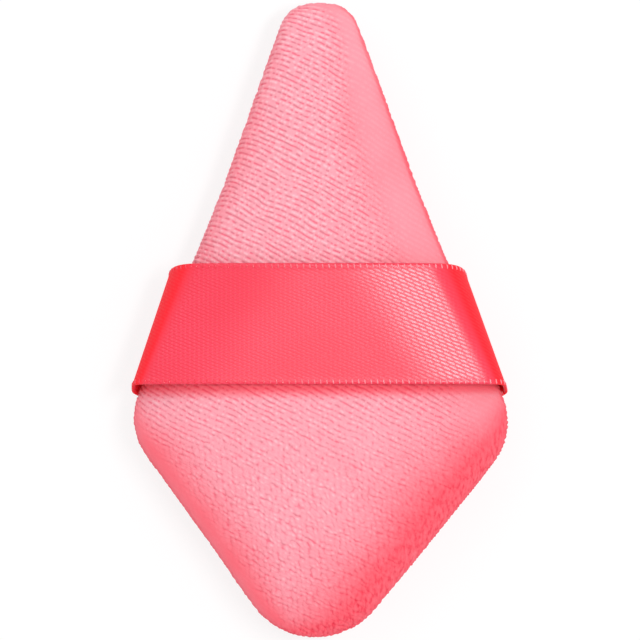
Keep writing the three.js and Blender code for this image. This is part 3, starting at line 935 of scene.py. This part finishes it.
EDGE_FINER = 0.15
SECTION_STEPS = 90
RIBBON_ROOM, RIBBON_ROOM_EASE = 0.62 * RIBBON_WIDTH, 1.5


def roll_inset(height):
    """How far the rolled edge is drawn in at a height over the seam."""
    share = np.clip(height / BULGE, 0, 1)
    return DRAW_IN * (1 - np.sqrt(share * (2 - share)))


RASTER_STEP, ROUND_OFF = 0.5, 15
RASTER_X = np.arange(-34, 34.1, RASTER_STEP)
RASTER_Y = np.arange(-54, 56.1, RASTER_STEP)


def share_raster():
    """Share of the way from the crown to the rim, its ridges to the corners rounded off."""
    points = np.stack(np.meshgrid(RASTER_X, RASTER_Y, indexing="ij"), -1) - CROWN_CENTRE
    heading = np.arctan2(points[..., 1], points[..., 0])
    share = np.linalg.norm(points, axis=-1) / round_rim(heading, rim_reach)
    for axis in (0, 1):
        share = np.apply_along_axis(softened, axis, share, 2 * ROUND_OFF + 1)
    return share


SHARE_RASTER = share_raster()


def rounded_share(points):
    """The evened share at points in rows, each from the crown's centre (0) to the rim (1)."""
    column = (points[..., 0] - RASTER_X[0]) / RASTER_STEP
    row = (points[..., 1] - RASTER_Y[0]) / RASTER_STEP
    i, j = column.astype(int), row.astype(int)
    a, b = column - i, row - j
    found = ((SHARE_RASTER[i, j] * (1 - a) + SHARE_RASTER[i + 1, j] * a) * (1 - b)
             + (SHARE_RASTER[i, j + 1] * (1 - a) + SHARE_RASTER[i + 1, j + 1] * a) * b)
    found = (found - found[:, :1]) / (found[:, -1:] - found[:, :1])
    return np.clip(found, 0, 1)


def dome_height(share, crown):
    return BULGE + (crown - BULGE) * (1 - share ** CROWN_POWER) ** CROWN_EASE


def seam_lift(points):
    """How far each cover's edge stands off the seam's plane: more where the ribbon goes in."""
    inside = RIBBON_ROOM - np.abs(points[:, 1] - RIBBON_MEETS_Y)
    return SEAM_GAP + (RIBBON_SEAM_GAP - SEAM_GAP) * eased(inside / RIBBON_ROOM_EASE)


def cover_form(side, crown, inset=0.0, foot=0.0):
    """Places of the grid's points on a cover, and their places on the cloth laid flat.

    Each section runs over the dome and down the rolled edge to the foot, and the points are
    spaced along it.
    """
    grown = (1 + EDGE_FINER) * flat_share - EDGE_FINER * flat_share ** 3
    dome = 1 - (1 - np.linspace(0, 1, SECTION_STEPS)) ** 2
    section_share = np.concatenate([dome, np.ones(SECTION_STEPS)])
    foot_turn = math.acos(1 - foot / BULGE) if foot else 0.0
    roll = BULGE * (1 - np.sin(np.linspace(0, math.pi / 2 - foot_turn, SECTION_STEPS)))
    heading = np.stack([np.cos(flat_angle), np.sin(flat_angle)], 1)
    dome_points = CROWN_CENTRE + heading[:, None] * (dome[:, None] * flat_reach[:, None, None])
    domes = dome_height(rounded_share(dome_points), crown)
    section_height = np.concatenate([domes, np.tile(roll, (len(domes), 1))], 1)
    section_inset = np.concatenate([np.zeros(SECTION_STEPS), roll_inset(roll)])
    out = section_share[None, :] * flat_reach[:, None] - section_inset[None, :]
    steps = np.hypot(np.diff(out, axis=1), np.diff(section_height, axis=1))
    run = np.concatenate([np.zeros((len(out), 1)), np.cumsum(steps, axis=1)], 1)
    target = grown * run[:, -1]
    at = np.array([np.interp(t, r, np.arange(len(r))) for t, r in zip(target, run)])
    steps = np.arange(len(section_share))
    share, drawn = np.interp(at, steps, section_share), np.interp(at, steps, section_inset)
    height = np.array([np.interp(a, steps, heights) for a, heights in zip(at, section_height)])
    drawn = drawn + inset
    reach_x = round_rim(flat_angle, rim_all_points[:, 0] - CROWN_CENTRE[0])
    reach_y = round_rim(flat_angle, rim_all_points[:, 1] - CROWN_CENTRE[1])
    normal_x = round_rim(flat_angle, rim_normal[:, 0])
    normal_y = round_rim(flat_angle, rim_normal[:, 1])
    edge = share ** 6
    x = CROWN_CENTRE[0] + share * reach_x - drawn * normal_x * edge
    y = CROWN_CENTRE[1] + share * reach_y - drawn * normal_y * edge
    places = np.stack([x, y, SEAM_Z + side * height], 1)
    lift = seam_lift(places)
    places[:, 2] = SEAM_Z + side * (height + (1 - np.clip(height / BULGE, 0, 1)) * lift)
    cloth = CROWN_CENTRE + heading * target[:, None]
    return places, np.column_stack([cloth, np.zeros(len(cloth))])


# Cloth simulation of both covers as one closed bag, at ten times the size

BAG_SCALE = 10
BAG_FRAMES = 20
BAG_REACH, BAG_REACH_EDGE, BAG_SINK = 0.6, 0.25, 0.1
BAG_EVENING = 14
BAG_CLOTH = {
    "quality": 6, "mass": 0.3, "tension_stiffness": 15, "compression_stiffness": 8,
    "shear_stiffness": 6, "bending_stiffness": 0.8, "vertex_group_mass": "seam",
    "use_pressure": True, "uniform_pressure_force": 4.0,
}
STRAP_SWELL, POWDER_SWELL, QUICK_SWELL = 0.6, 0.3, 0.4


def grid_normals(places):
    grid = places.reshape(GRID, GRID, 3)
    found = unit(np.cross(np.gradient(grid, axis=1), np.gradient(grid, axis=0))).reshape(-1, 3)
    return found * np.sign(found[:, 2:])


def under(places, side, outer, wall, foot):
    """The places kept a wall's thickness inside the outer cover, and no lower than the foot."""
    height = side * (places[:, 2] - SEAM_Z)
    room = side * (outer[:, 2] - SEAM_Z) - wall
    kept = places.copy()
    kept[:, 2] = SEAM_Z + side * np.minimum(height, np.maximum(room, foot))
    return kept


def blown_up(places, faces):
    """The places of a closed bag, held along its seam, once it has been blown up."""
    bag = make_object("bag", places * BAG_SCALE, faces)
    group = bag.vertex_groups.new(name="seam")
    group.add([int(i) for i in GRID_RING], 1.0, "REPLACE")
    cloth = bag.modifiers.new("cloth", "CLOTH")
    for key, value in BAG_CLOTH.items():
        setattr(cloth.settings, key, value)
    cloth.settings.effector_weights.gravity = 0
    cloth.point_cache.frame_start, cloth.point_cache.frame_end = 1, BAG_FRAMES
    scene = bpy.context.scene
    for number in range(1, BAG_FRAMES + 1):
        scene.frame_set(number)
    seen = bag.evaluated_get(bpy.context.evaluated_depsgraph_get())
    swollen = point_places(seen.to_mesh()) / BAG_SCALE
    seen.to_mesh_clear()
    bpy.data.objects.remove(bag)
    scene.frame_set(1)
    return swollen


def swell(upper, lower):
    """Both covers swollen by the filling, which also keeps them from sinking."""
    total = GRID * GRID
    keep = np.setdiff1d(np.arange(total), GRID_RING)
    index = np.arange(total)
    index[keep] = total + np.arange(len(keep))
    places = np.concatenate([upper, lower[keep]])
    places[GRID_RING] = (upper[GRID_RING] + lower[GRID_RING]) / 2
    faces = np.concatenate([grid_faces(), index[grid_faces(flip=True)]])
    moved = blown_up(places, faces) - places
    ups = moved[:total]
    downs = np.zeros_like(ups)
    downs[keep] = moved[total:]
    cap = BAG_REACH_EDGE + (BAG_REACH - BAG_REACH_EDGE) * eased((1 - flat_share) / 0.5)
    results = []
    for side, start, step in ((1, upper, ups), (-1, lower, downs)):
        out = side * grid_normals(start)
        rise = (step * out).sum(1)
        step = step + out * np.maximum(-BAG_SINK - rise, 0)[:, None]
        size = np.linalg.norm(step, axis=1)
        held = cap * np.tanh(size / cap) / np.maximum(size, 1e-9)
        push = step * held[:, None] * (flat_share < 0.999)[:, None]
        push = evened(push.reshape(GRID, GRID, 3), BAG_EVENING)
        results.append(start + push.reshape(-1, 3))
    return results


upper_places, upper_cloth = cover_form(1, STRAP_CROWN - STRAP_SWELL)
lower_places, lower_cloth = cover_form(-1, POWDER_CROWN - POWDER_SWELL)
upper_places, lower_places = swell(upper_places, lower_places)


# ---------------------------------------------------------------- velour covers

HELD_EDGE = 0.02  # share of the way in over which the pile starts to rise
WALL_SLACK = 0.2


def pile_tree():
    """Cloth made finer, its pile raised in ribs and lumps, and pressed flat on the table."""
    tree, net, given, result = new_group("velour pile", "GeometryNodeTree", [
        ("in", "Cloth", GEOMETRY, None),
        ("in", "Fineness", WHOLE, 3),
        ("in", "Pile Depth", FLOAT, 0.26 * MM),
        ("in", "Table Height", FLOAT, 0.0),
        ("in", "Finish", FINISH, None),
        ("out", "Cover", GEOMETRY, None)])
    fine = net.node("GeometryNodeSubdivisionSurface", {
        "Mesh": given["Cloth"], "Level": given["Fineness"]})
    normal = net.node("GeometryNodeInputNormal").outputs[0]
    kept = net.node("GeometryNodeStoreNamedAttribute", {
        "Geometry": fine.outputs[0], "Name": "facing"}, data_type="FLOAT_VECTOR", domain="POINT")
    net.feed(next(s for s in kept.inputs if s.name == "Value" and s.type == "VECTOR"), normal)
    place, facing = named_vector(net, "cloth_place"), named_vector(net, "facing")
    low, even = pile_regions(net, place, facing)
    pile = add_group(net, pile_on_mesh, "GeometryNodeGroup", Place=place, Lumps=low, Evenness=even)
    free = net.node("GeometryNodeInputNamedAttribute", {"Name": "free"}, data_type="FLOAT")
    lift = net.times(net.minus(pile["Height"], EVEN_HEIGHT), given["Pile Depth"])
    lift = net.times(lift, net.ramp(net.aside(facing), 0.7, 0.95, 1.0, 1.7))
    lift = net.times(lift, free.outputs["Attribute"])
    raised = net.node("GeometryNodeSetPosition", {
        "Geometry": kept.outputs[0], "Offset": net.vector("SCALE", facing, lift)})
    x, y, z = net.split(net.node("GeometryNodeInputPosition").outputs[0])
    above = net.point(x, y, net.larger(z, given["Table Height"]))
    pressed = net.node("GeometryNodeSetPosition", {
        "Geometry": raised.outputs[0], "Position": above})
    net.feed(result["Cover"], finished(net, pressed, given["Finish"]))
    return tree


velour_pile = pile_tree()


def crown_direction(points):
    """Directions in which points lie from the crown's centre."""
    return np.arctan2(points[:, 1] - CROWN_CENTRE[1], points[:, 0] - CROWN_CENTRE[0])


def ring_at(inset, height, side):
    """A ring of the pad's rim, one point to each point of the grid's edge."""
    stations = np.concatenate([s[:-1] for s in sides])
    places = rim_points(stations, inset)
    places = np.column_stack([places, np.full(len(places), SEAM_Z + side * height)])
    places[:, 2] += side * seam_lift(places)
    return places


def edge_in_order(places, faces):
    """Indices of an open mesh's edge points, anticlockwise from straight left of the crown."""
    pairs = np.sort(np.concatenate([faces[:, [k, (k + 1) % 4]] for k in range(4)]), axis=1)
    codes = pairs[:, 0].astype(np.int64) * len(places) + pairs[:, 1]
    found, counts = np.unique(codes, return_counts=True)
    lone = found[counts == 1]
    edge = np.unique(np.concatenate([lone // len(places), lone % len(places)]))
    return edge[np.argsort(crown_direction(places[edge]))]


def pile_face(name, side, places, cloth, finish):
    """The outside of a cover, open at its edge, with its pile raised."""
    face = make_object(name, trimmed(places), grid_faces(flip=side < 0))
    write_vectors(face.data, "cloth_place", cloth * MM)
    free = np.clip((1 - flat_share) / HELD_EDGE, 0, 1)
    face.data.attributes.new("free", "FLOAT", "POINT").data.foreach_set(
        "value", free.astype(np.float32))
    use_tree(face, velour_pile, Finish=finish)
    return applied(face, name)


def inside_faces(outer, edge, rings, inner, side):
    """Faces from the pile's edge over both rings of the flange to the plain back, and the back."""
    ring_count = 4 * CELLS
    fine = len(edge) // ring_count
    order = np.argsort(crown_direction(rings[0]))
    first, second = [len(outer) + k * ring_count + order for k in range(2)]
    inner_start = len(outer) + 2 * ring_count
    third = inner_start + GRID_RING[np.argsort(crown_direction(inner[GRID_RING]))]
    apart = crown_direction(outer[edge[:fine * 2]]) - crown_direction(rings[0][order[:1]])
    edge = np.roll(edge, -np.argmin(np.abs(apart)))
    found = []
    for k in range(ring_count):
        after = (k + 1) % ring_count
        lip = [edge[(k * fine + j) % len(edge)] for j in range(fine + 1)]
        found.append(lip[::-1] + [first[k], first[after]])
        found.append([first[after], first[k], second[k], second[after]])
        found.append([second[after], second[k], third[k], third[after]])
    if side < 0:
        found = [face[::-1] for face in found]
    return found + grid_faces(inner_start, flip=side > 0).tolist()


def finish_cover(name, side, crown, places, cloth, finish, node):
    """One velour cover as a closed shell: pile outside, flange and plain back inside."""
    face = pile_face(name, side, places, cloth, finish)
    outer = point_places(face.data)
    quads = np.empty(len(face.data.loops), np.int32)
    face.data.loops.foreach_get("vertex_index", quads)
    quads = quads.reshape(-1, 4)
    outer_cloth, outer_facing = [read_vectors(face.data, key) for key in ("cloth_place", "facing")]
    bpy.data.objects.remove(face)

    rings = [trimmed(ring_at(DRAW_IN + FLANGE_WIDTH, height, side))
             for height in (0.0, FLANGE_THICKNESS)]
    inner, _ = cover_form(side, crown - COVER_WALL, COVER_WALL, FLANGE_THICKNESS)
    inner = trimmed(under(inner, side, places, COVER_WALL - WALL_SLACK, FLANGE_THICKNESS))
    inside = np.concatenate([*rings, inner])
    faces = inside_faces(outer, edge_in_order(outer, quads), rings, inner, side)
    made = make_object(name, np.concatenate([outer, inside]), quads.tolist() + faces, [finish])
    smooth(made.data)
    inside_facing = np.tile([0.0, 0.0, -side], (len(inside), 1))
    write_vectors(made.data, "cloth_place", np.concatenate([outer_cloth, inside * (MM, MM, 0)]))
    write_vectors(made.data, "facing", np.concatenate([outer_facing, inside_facing]))
    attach(made, "puff")
    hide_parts(node)


finish_cover("strap_side_velour", 1, STRAP_CROWN, upper_places, upper_cloth,
             strap_velour, "strap_side_cover")
finish_cover("powder_side_velour", -1, POWDER_CROWN, lower_places, lower_cloth,
             powder_velour, "powder_side_cover")


# ---------------------------------------------------------------- foam filling


def make_foam():
    """Filling that touches both covers' backs, grooved all round for their flanges."""
    floor_height = FLANGE_THICKNESS + 2 * FOAM_GAP
    halves = []
    for side, crown, outer in ((1, STRAP_CROWN, upper_places), (-1, POWDER_CROWN, lower_places)):
        places, _ = cover_form(side, crown - COVER_WALL - FOAM_GAP, COVER_WALL + FOAM_GAP, BULGE)
        places = under(places, side, outer, COVER_WALL, floor_height)
        places[:, 2] = np.maximum(places[:, 2], COVER_WALL + FOAM_GAP)
        halves.append(places)
    grooves = [ring_at(DRAW_IN + FLANGE_WIDTH + FOAM_GAP, floor_height, side) for side in (1, -1)]
    total, ring_count = GRID * GRID, len(GRID_RING)
    first = 2 * total + np.arange(ring_count)
    rings = [GRID_RING, first, first + ring_count, total + GRID_RING]
    faces = grid_faces().tolist() + grid_faces(total, flip=True).tolist()
    # the grid's edge runs the same way round as the rim's stations
    for a, b in zip(rings, rings[1:]):
        for k in range(ring_count):
            after = (k + 1) % ring_count
            faces.append([a[k], a[after], b[after], b[k]])
    foam = make_object("foam_filling", trimmed(np.concatenate([*halves, *grooves])), faces,
                       [cream_foam])
    smooth(foam.data)
    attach(foam, "puff")
    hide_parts("foam_core")


make_foam()


# ---------------------------------------------------------------- rows of stitches


def tube(path, radii, across, sides=6, widen=1.0):
    """A closed thread along a path; across is square to the path's plane."""
    path = np.array(path, float)
    heading = unit(np.gradient(path, axis=0))
    second = unit(np.cross(heading, across))
    first = np.cross(second, heading)
    turn = np.linspace(0, 2 * math.pi, sides, endpoint=False)[None, :, None]
    ring = widen * np.cos(turn) * first[:, None] + np.sin(turn) * second[:, None]
    points = path[:, None] + np.array(radii)[:, None, None] * ring
    faces = []
    for k in range(len(path) - 1):
        for j in range(sides):
            a, b = k * sides + j, k * sides + (j + 1) % sides
            faces.append([a, b, b + sides, a + sides])
    last = (len(path) - 1) * sides
    faces.append(list(range(sides))[::-1])
    faces.append([last + j for j in range(sides)])
    return points.reshape(-1, 3), faces


def stitch_tree():
    """The same stitch at every point of a guide, turned as the guide says, beside what is there."""
    tree, net, given, result = new_group("row of stitches", "GeometryNodeTree", [
        ("in", "Cloth", GEOMETRY, None),
        ("in", "Guide", OBJECT, None),
        ("in", "Stitch", OBJECT, None),
        ("in", "Spread", FLOAT, 0.1),
        ("in", "Seed", WHOLE, 7),
        ("in", "Finish", FINISH, None),
        ("out", "Sewn", GEOMETRY, None)])
    guide = net.node("GeometryNodeObjectInfo", {"Object": given["Guide"]}).outputs["Geometry"]
    stitch = net.node("GeometryNodeObjectInfo", {"Object": given["Stitch"]}).outputs["Geometry"]
    upright = net.node("FunctionNodeAlignRotationToVector", {
        "Vector": named_vector(net, "up")}, axis="Z")
    turned = net.node("FunctionNodeAlignRotationToVector", {
        "Rotation": upright.outputs[0], "Vector": named_vector(net, "out")},
        axis="Y", pivot_axis="Z")
    size = net.node("FunctionNodeRandomValue", {"Seed": given["Seed"]}, data_type="FLOAT")
    low, high = [next(s for s in size.inputs if s.name == name and s.type == "VALUE" and s.enabled)
                 for name in ("Min", "Max")]
    net.feed(low, net.minus(1.0, given["Spread"]))
    net.feed(high, 1.0)
    drawn = next(s for s in size.outputs if s.type == "VALUE" and s.enabled)
    placed = net.node("GeometryNodeInstanceOnPoints", {
        "Points": guide, "Instance": stitch, "Rotation": turned.outputs[0],
        "Scale": net.point(drawn, 1.0, 1.0)})
    stitches = finished(net, placed, given["Finish"])
    joined = net.node("GeometryNodeJoinGeometry", {0: given["Cloth"]})
    net.feed(joined.inputs[0], stitches)
    net.feed(result["Sewn"], joined.outputs[0])
    return tree


row_of_stitches = stitch_tree()


def sewn(cloth, name, places, ups, outs, stitch, finish, spread=0.1):
    """The object with a stitch at each place, as one plain mesh."""
    guide = make_object("guide", places, [])
    write_vectors(guide.data, "up", ups)
    write_vectors(guide.data, "out", outs)
    shape = make_object("stitch", *stitch)
    use_tree(cloth, row_of_stitches, Guide=guide, Stitch=shape, Spread=spread, Finish=finish)
    made = applied(cloth, name)
    bpy.data.objects.remove(guide)
    bpy.data.objects.remove(shape)
    return made


# ---------------------------------------------------------------- ribbon

RIBBON_ROWS, RIBBON_STEP = 34, 0.3
SELVAGE, SELVAGE_SWELL = 0.66, 0.35
LOOP_PITCH, LOOP_RADIUS = 0.83, 0.085


def ribbon_stations():
    """Distances across the ribbon: closer together at both edges."""
    half = RIBBON_WIDTH / 2
    middle = np.linspace(-half + SELVAGE, half - SELVAGE, RIBBON_ROWS)
    edge = half - SELVAGE * np.array([0.0, 0.12, 0.35, 0.65])
    return np.concatenate([-edge, middle, edge[::-1]])


def ribbon_frame(x, y, nudge=0.02):
    """Place, crosswise and upward directions of the ribbon."""
    lengthwise = ribbon_place(x + nudge, y) - ribbon_place(x - nudge, y)
    crosswise = ribbon_place(x, y + nudge) - ribbon_place(x, y - nudge)
    return ribbon_place(x, y), unit(crosswise), unit(np.cross(lengthwise, crosswise))


def make_ribbon():
    """The ribbon as one closed strip, a little thicker just inside its woven edges."""
    across = ribbon_stations()
    left_end, right_end = ribbon_ends(across)
    half_count = int(round(right_end.mean() / RIBBON_STEP))
    share = np.linspace(-1, 1, 2 * half_count + 1)[:, None]
    y = np.broadcast_to(across[None, :], (len(share), len(across)))
    x = np.where(share > 0, share * right_end, share * left_end)
    place, _, up = ribbon_frame(x, y)
    rim = np.clip((np.abs(y) - (RIBBON_WIDTH / 2 - SELVAGE)) / SELVAGE, 0, 1)
    bead = 1 + SELVAGE_SWELL * np.sin(rim * math.pi) ** 0.7
    half = RIBBON_THICKNESS / 2 * bead * np.sqrt(1 - rim ** 6 * 0.8)
    raised = up * half[..., None]
    rings = np.concatenate([place + raised, (place - raised)[:, ::-1]], 1)
    cloth = np.stack([x, y, np.zeros_like(x)], -1)
    cloth = np.concatenate([cloth, cloth[:, ::-1]], 1)
    facing = np.concatenate([up, up[:, ::-1]], 1)
    rows, columns = rings.shape[:2]
    at = np.arange(rows * columns).reshape(rows, columns)
    beside = np.roll(at, -1, axis=1)
    faces = np.stack([at[:-1], at[1:], beside[1:], beside[:-1]], -1).reshape(-1, 4).tolist()
    faces += [at[0].tolist(), at[-1][::-1].tolist()]
    made = make_object("satin_ribbon", rings.reshape(-1, 3), faces, [coral_satin])
    write_vectors(made.data, "cloth_place", cloth.reshape(-1, 3) * MM)
    write_vectors(made.data, "facing", facing.reshape(-1, 3))
    smooth(made.data)
    return made


def edge_guides():
    """Points along both edges of the ribbon, with the way up and the way out at each."""
    found = []
    for way in (-1, 1):
        left_end, right_end = ribbon_ends(np.array(way * RIBBON_WIDTH / 2), tab=False)
        x = np.arange(-left_end, right_end, LOOP_PITCH)
        place, crosswise, up = ribbon_frame(x, np.full_like(x, way * RIBBON_WIDTH / 2))
        found.append((place, up, crosswise * way))
    return [np.concatenate(parts) for parts in zip(*found)]


LOOP_HALF = [(0.07, -0.74, 0.06), (0.05, -0.6, 0.15), (0.02, -0.4, 0.19), (-0.02, -0.22, 0.17),
             (-0.04, -0.1, 0.06)]
LOOP_PATH = LOOP_HALF + [(x, y, -z) for x, y, z in LOOP_HALF[::-1]]
LOOP_RADII = LOOP_RADIUS * np.array([0.4, 0.9, 1, 1, 0.9, 0.9, 1, 1, 0.9, 0.4])
edge_loop = tube(LOOP_PATH, LOOP_RADII, (1, 0, 0), widen=1.5)
ribbon = sewn(make_ribbon(), "satin_ribbon", *edge_guides(), edge_loop, edge_thread, 0.25)

ribbon_length = float(sum(ribbon_ends(np.zeros(1)))[0])
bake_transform(ribbon)
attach(ribbon, "puff")
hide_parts("ribbon_strap", "ribbon_tab_right", "ribbon_tab_left")


# ---------------------------------------------------------------- threads

GAP_FACE = side_angle(CORNERS[1], CORNERS[2])
GAP_FACING = np.array([math.cos(GAP_FACE), math.sin(GAP_FACE)])
gap_ends = [np.array(c[:2]) + c[2] * GAP_FACING for c in CORNERS[1:3]]
gap_middle = (gap_ends[0] + gap_ends[1]) / 2
gap_along = unit(gap_ends[1] - gap_ends[0])


def staple(length, depth):
    """A machine stitch: level between two holes, with its ends drawn down into them."""
    half = length / 2
    path = [(-half, 0, -depth), (-half, 0, -0.2), (-half + 0.14, 0, -0.03), (-half * 0.4, 0, 0.05)]
    path += [(-x, y, z) for x, y, z in path[::-1]]
    return tube(path, THREAD_RADIUS * np.array([0.6, 0.9, 1, 1, 1, 1, 0.9, 0.6]), (0, 1, 0))


def sew_line(name, places, side, outs, stitch, node, spread=0.0):
    """One thread: a row of stitches that rides with the pad."""
    ups = np.tile([0.0, 0.0, side], (len(places), 1))
    bare = make_object(name, [], [])
    made = sewn(bare, name, trimmed(places), ups, outs, stitch, pink_thread, spread)
    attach(made, "puff")
    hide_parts(node)


def seam_line(side):
    """Stitches of the seam round the rim, left out along the turning gap."""
    points = rim_points(rim_all, SEAM_INSET)
    points = np.concatenate([points, points[:1]])
    run = lengths_along(points)
    count = int(run[-1] / STITCH_PITCH)
    at = (np.arange(count) + 0.5) * run[-1] / count
    places = np.stack([np.interp(at, run, points[:, k]) for k in (0, 1)], 1)
    facing = np.concatenate([rim_normal, rim_normal[:1]])
    outs = unit(np.stack([np.interp(at, run, facing[:, k]) for k in (0, 1)], 1))
    beyond = np.abs((places - gap_middle) @ gap_along) > TURNING_GAP / 2
    away = beyond | (outs @ GAP_FACING < 0.5)
    places, outs = places[away], outs[away]
    flat_places = np.column_stack([places, np.zeros(len(places))])
    height = SEAM_Z + side * (seam_lift(flat_places) + FLANGE_THICKNESS + THREAD_RADIUS)
    return np.column_stack([places, height]), np.column_stack([outs, np.zeros(len(outs))])


def tack_line(bend, way):
    """Stitches that hold one end of the ribbon to the flange of the strap side."""
    y = (np.arange(TACK_COUNT) - (TACK_COUNT - 1) / 2) * TACK_PITCH
    x = bend.end(y, bend.seams + TACK_INSET - DRAW_IN)
    places = ribbon_place(way * x, y)
    places[:, 2] = SEAM_Z + RIBBON_SEAM_GAP + FLANGE_THICKNESS + THREAD_RADIUS
    return places, np.tile([way * bend.out_x, bend.out_y, 0.0], (len(y), 1))


def closing_line():
    """Whip stitches over the two folds where the pad was turned and filled."""
    count = int(TURNING_GAP / CLOSING_PITCH)
    at = (np.arange(count) - (count - 1) / 2) * CLOSING_PITCH
    places = np.column_stack([gap_middle + at[:, None] * gap_along, np.full(count, SEAM_Z)])
    return places, np.tile([*GAP_FACING, 0.0], (count, 1))


seam_stitch = staple(STITCH_PITCH - STITCH_APART, FLANGE_THICKNESS)
tack_stitch = staple(TACK_LENGTH, FLANGE_THICKNESS + RIBBON_SEAM_GAP + RIBBON_THICKNESS)
WHIP_HALF = [(-0.3, -1.05, 1.05), (-0.24, -0.52, 0.82), (-0.12, -0.4, 0.42)]
WHIP_PATH = [*WHIP_HALF, (0.0, -0.38, 0.0), *[(-x, y, -z) for x, y, z in WHIP_HALF[::-1]]]
WHIP_RADII = THREAD_RADIUS * np.array([0.7, 1, 1.1, 1.15, 1.1, 1, 0.7])
whip_stitch = tube(WHIP_PATH, WHIP_RADII, (1, 0, 0), sides=8)

for side, name, node in ((1, "needle_stitches", "needle_thread"),
                         (-1, "bobbin_stitches", "bobbin_thread")):
    places, outs = seam_line(side)
    sew_line(name, places, side, outs, seam_stitch, node)
for bend, way, name, node in ((right_bend, 1, "right_tack_stitches", "ribbon_tack_right"),
                              (left_bend, -1, "left_tack_stitches", "ribbon_tack_left")):
    places, outs = tack_line(bend, way)
    sew_line(name, places, 1, outs, tack_stitch, node)
places, outs = closing_line()
sew_line("closing_whip_stitches", places, 1, outs, whip_stitch, "closing_stitches", 0.15)


# ---------------------------------------------------------------- floor and light


FLOOR_CORNERS = 4000.0 * np.array([(-1, -1, 0), (1, -1, 0), (1, 1, 0), (-1, 1, 0)])
FLOOR_GREY, FLOOR_GLOW = 0.94, 0.8
WORLD_LEVEL = 0.725


def floor_finish():
    """White table: to the camera nearly white, with the object's soft shadow kept."""
    material = bpy.data.materials.new("white table")
    material.use_nodes = True
    material.node_tree.nodes.clear()
    net = Net(material.node_tree)
    matt = net.node("ShaderNodeBsdfDiffuse", {"Color": (FLOOR_GREY, FLOOR_GREY, FLOOR_GREY, 1)})
    glow = net.node("ShaderNodeEmission", {"Color": WHITE, "Strength": 1.0})
    seen = net.times(net.node("ShaderNodeLightPath").outputs["Is Camera Ray"], FLOOR_GLOW)
    mixed = net.node("ShaderNodeMixShader", {0: seen, 1: matt.outputs[0], 2: glow.outputs[0]})
    net.node("ShaderNodeOutputMaterial", {"Surface": mixed.outputs[0]})
    return material


def light_tent():
    """Even light from all round, which the camera sees as white."""
    world = bpy.data.worlds.new("white tent")
    bpy.context.scene.world = world
    world.use_nodes = True
    world.node_tree.nodes.clear()
    net = Net(world.node_tree)
    tent = net.node("ShaderNodeBackground", {"Color": WHITE, "Strength": WORLD_LEVEL})
    clear = net.node("ShaderNodeBackground", {"Color": WHITE, "Strength": 1.0})
    seen = net.node("ShaderNodeLightPath").outputs["Is Camera Ray"]
    both = net.node("ShaderNodeMixShader", {0: seen, 1: tent.outputs[0], 2: clear.outputs[0]})
    net.node("ShaderNodeOutputWorld", {"Surface": both.outputs[0]})


def soft_light(name, place, width, length, level, turn=0.0):
    """Soft box aimed at the object; level is its share of the light on a surface turned to it."""
    lamp = bpy.data.lights.new(name, "AREA")
    lamp.shape = "RECTANGLE"
    lamp.size, lamp.size_y = width, length
    away = Vector(place)
    lamp.energy = level * math.pi ** 2 * away.length_squared
    made = bpy.data.objects.new(name, lamp)
    made.location = away
    made.rotation_euler = away.to_track_quat("Z", "Y").to_euler()
    made.rotation_euler.rotate_axis("Z", turn)
    bpy.context.scene.collection.objects.link(made)


floor = make_object("table", FLOOR_CORNERS, [[0, 1, 2, 3]], [floor_finish()])
light_tent()
soft_light("tip softbox", (-0.25, 0.42, 0.55), width=0.5, length=0.4, level=0.12)
soft_light("ribbon softbox", (0.145, 0.032, 0.525), width=0.06, length=0.18, level=0.41,
           turn=math.radians(36))

bpy.context.scene.view_settings.view_transform = "Standard"
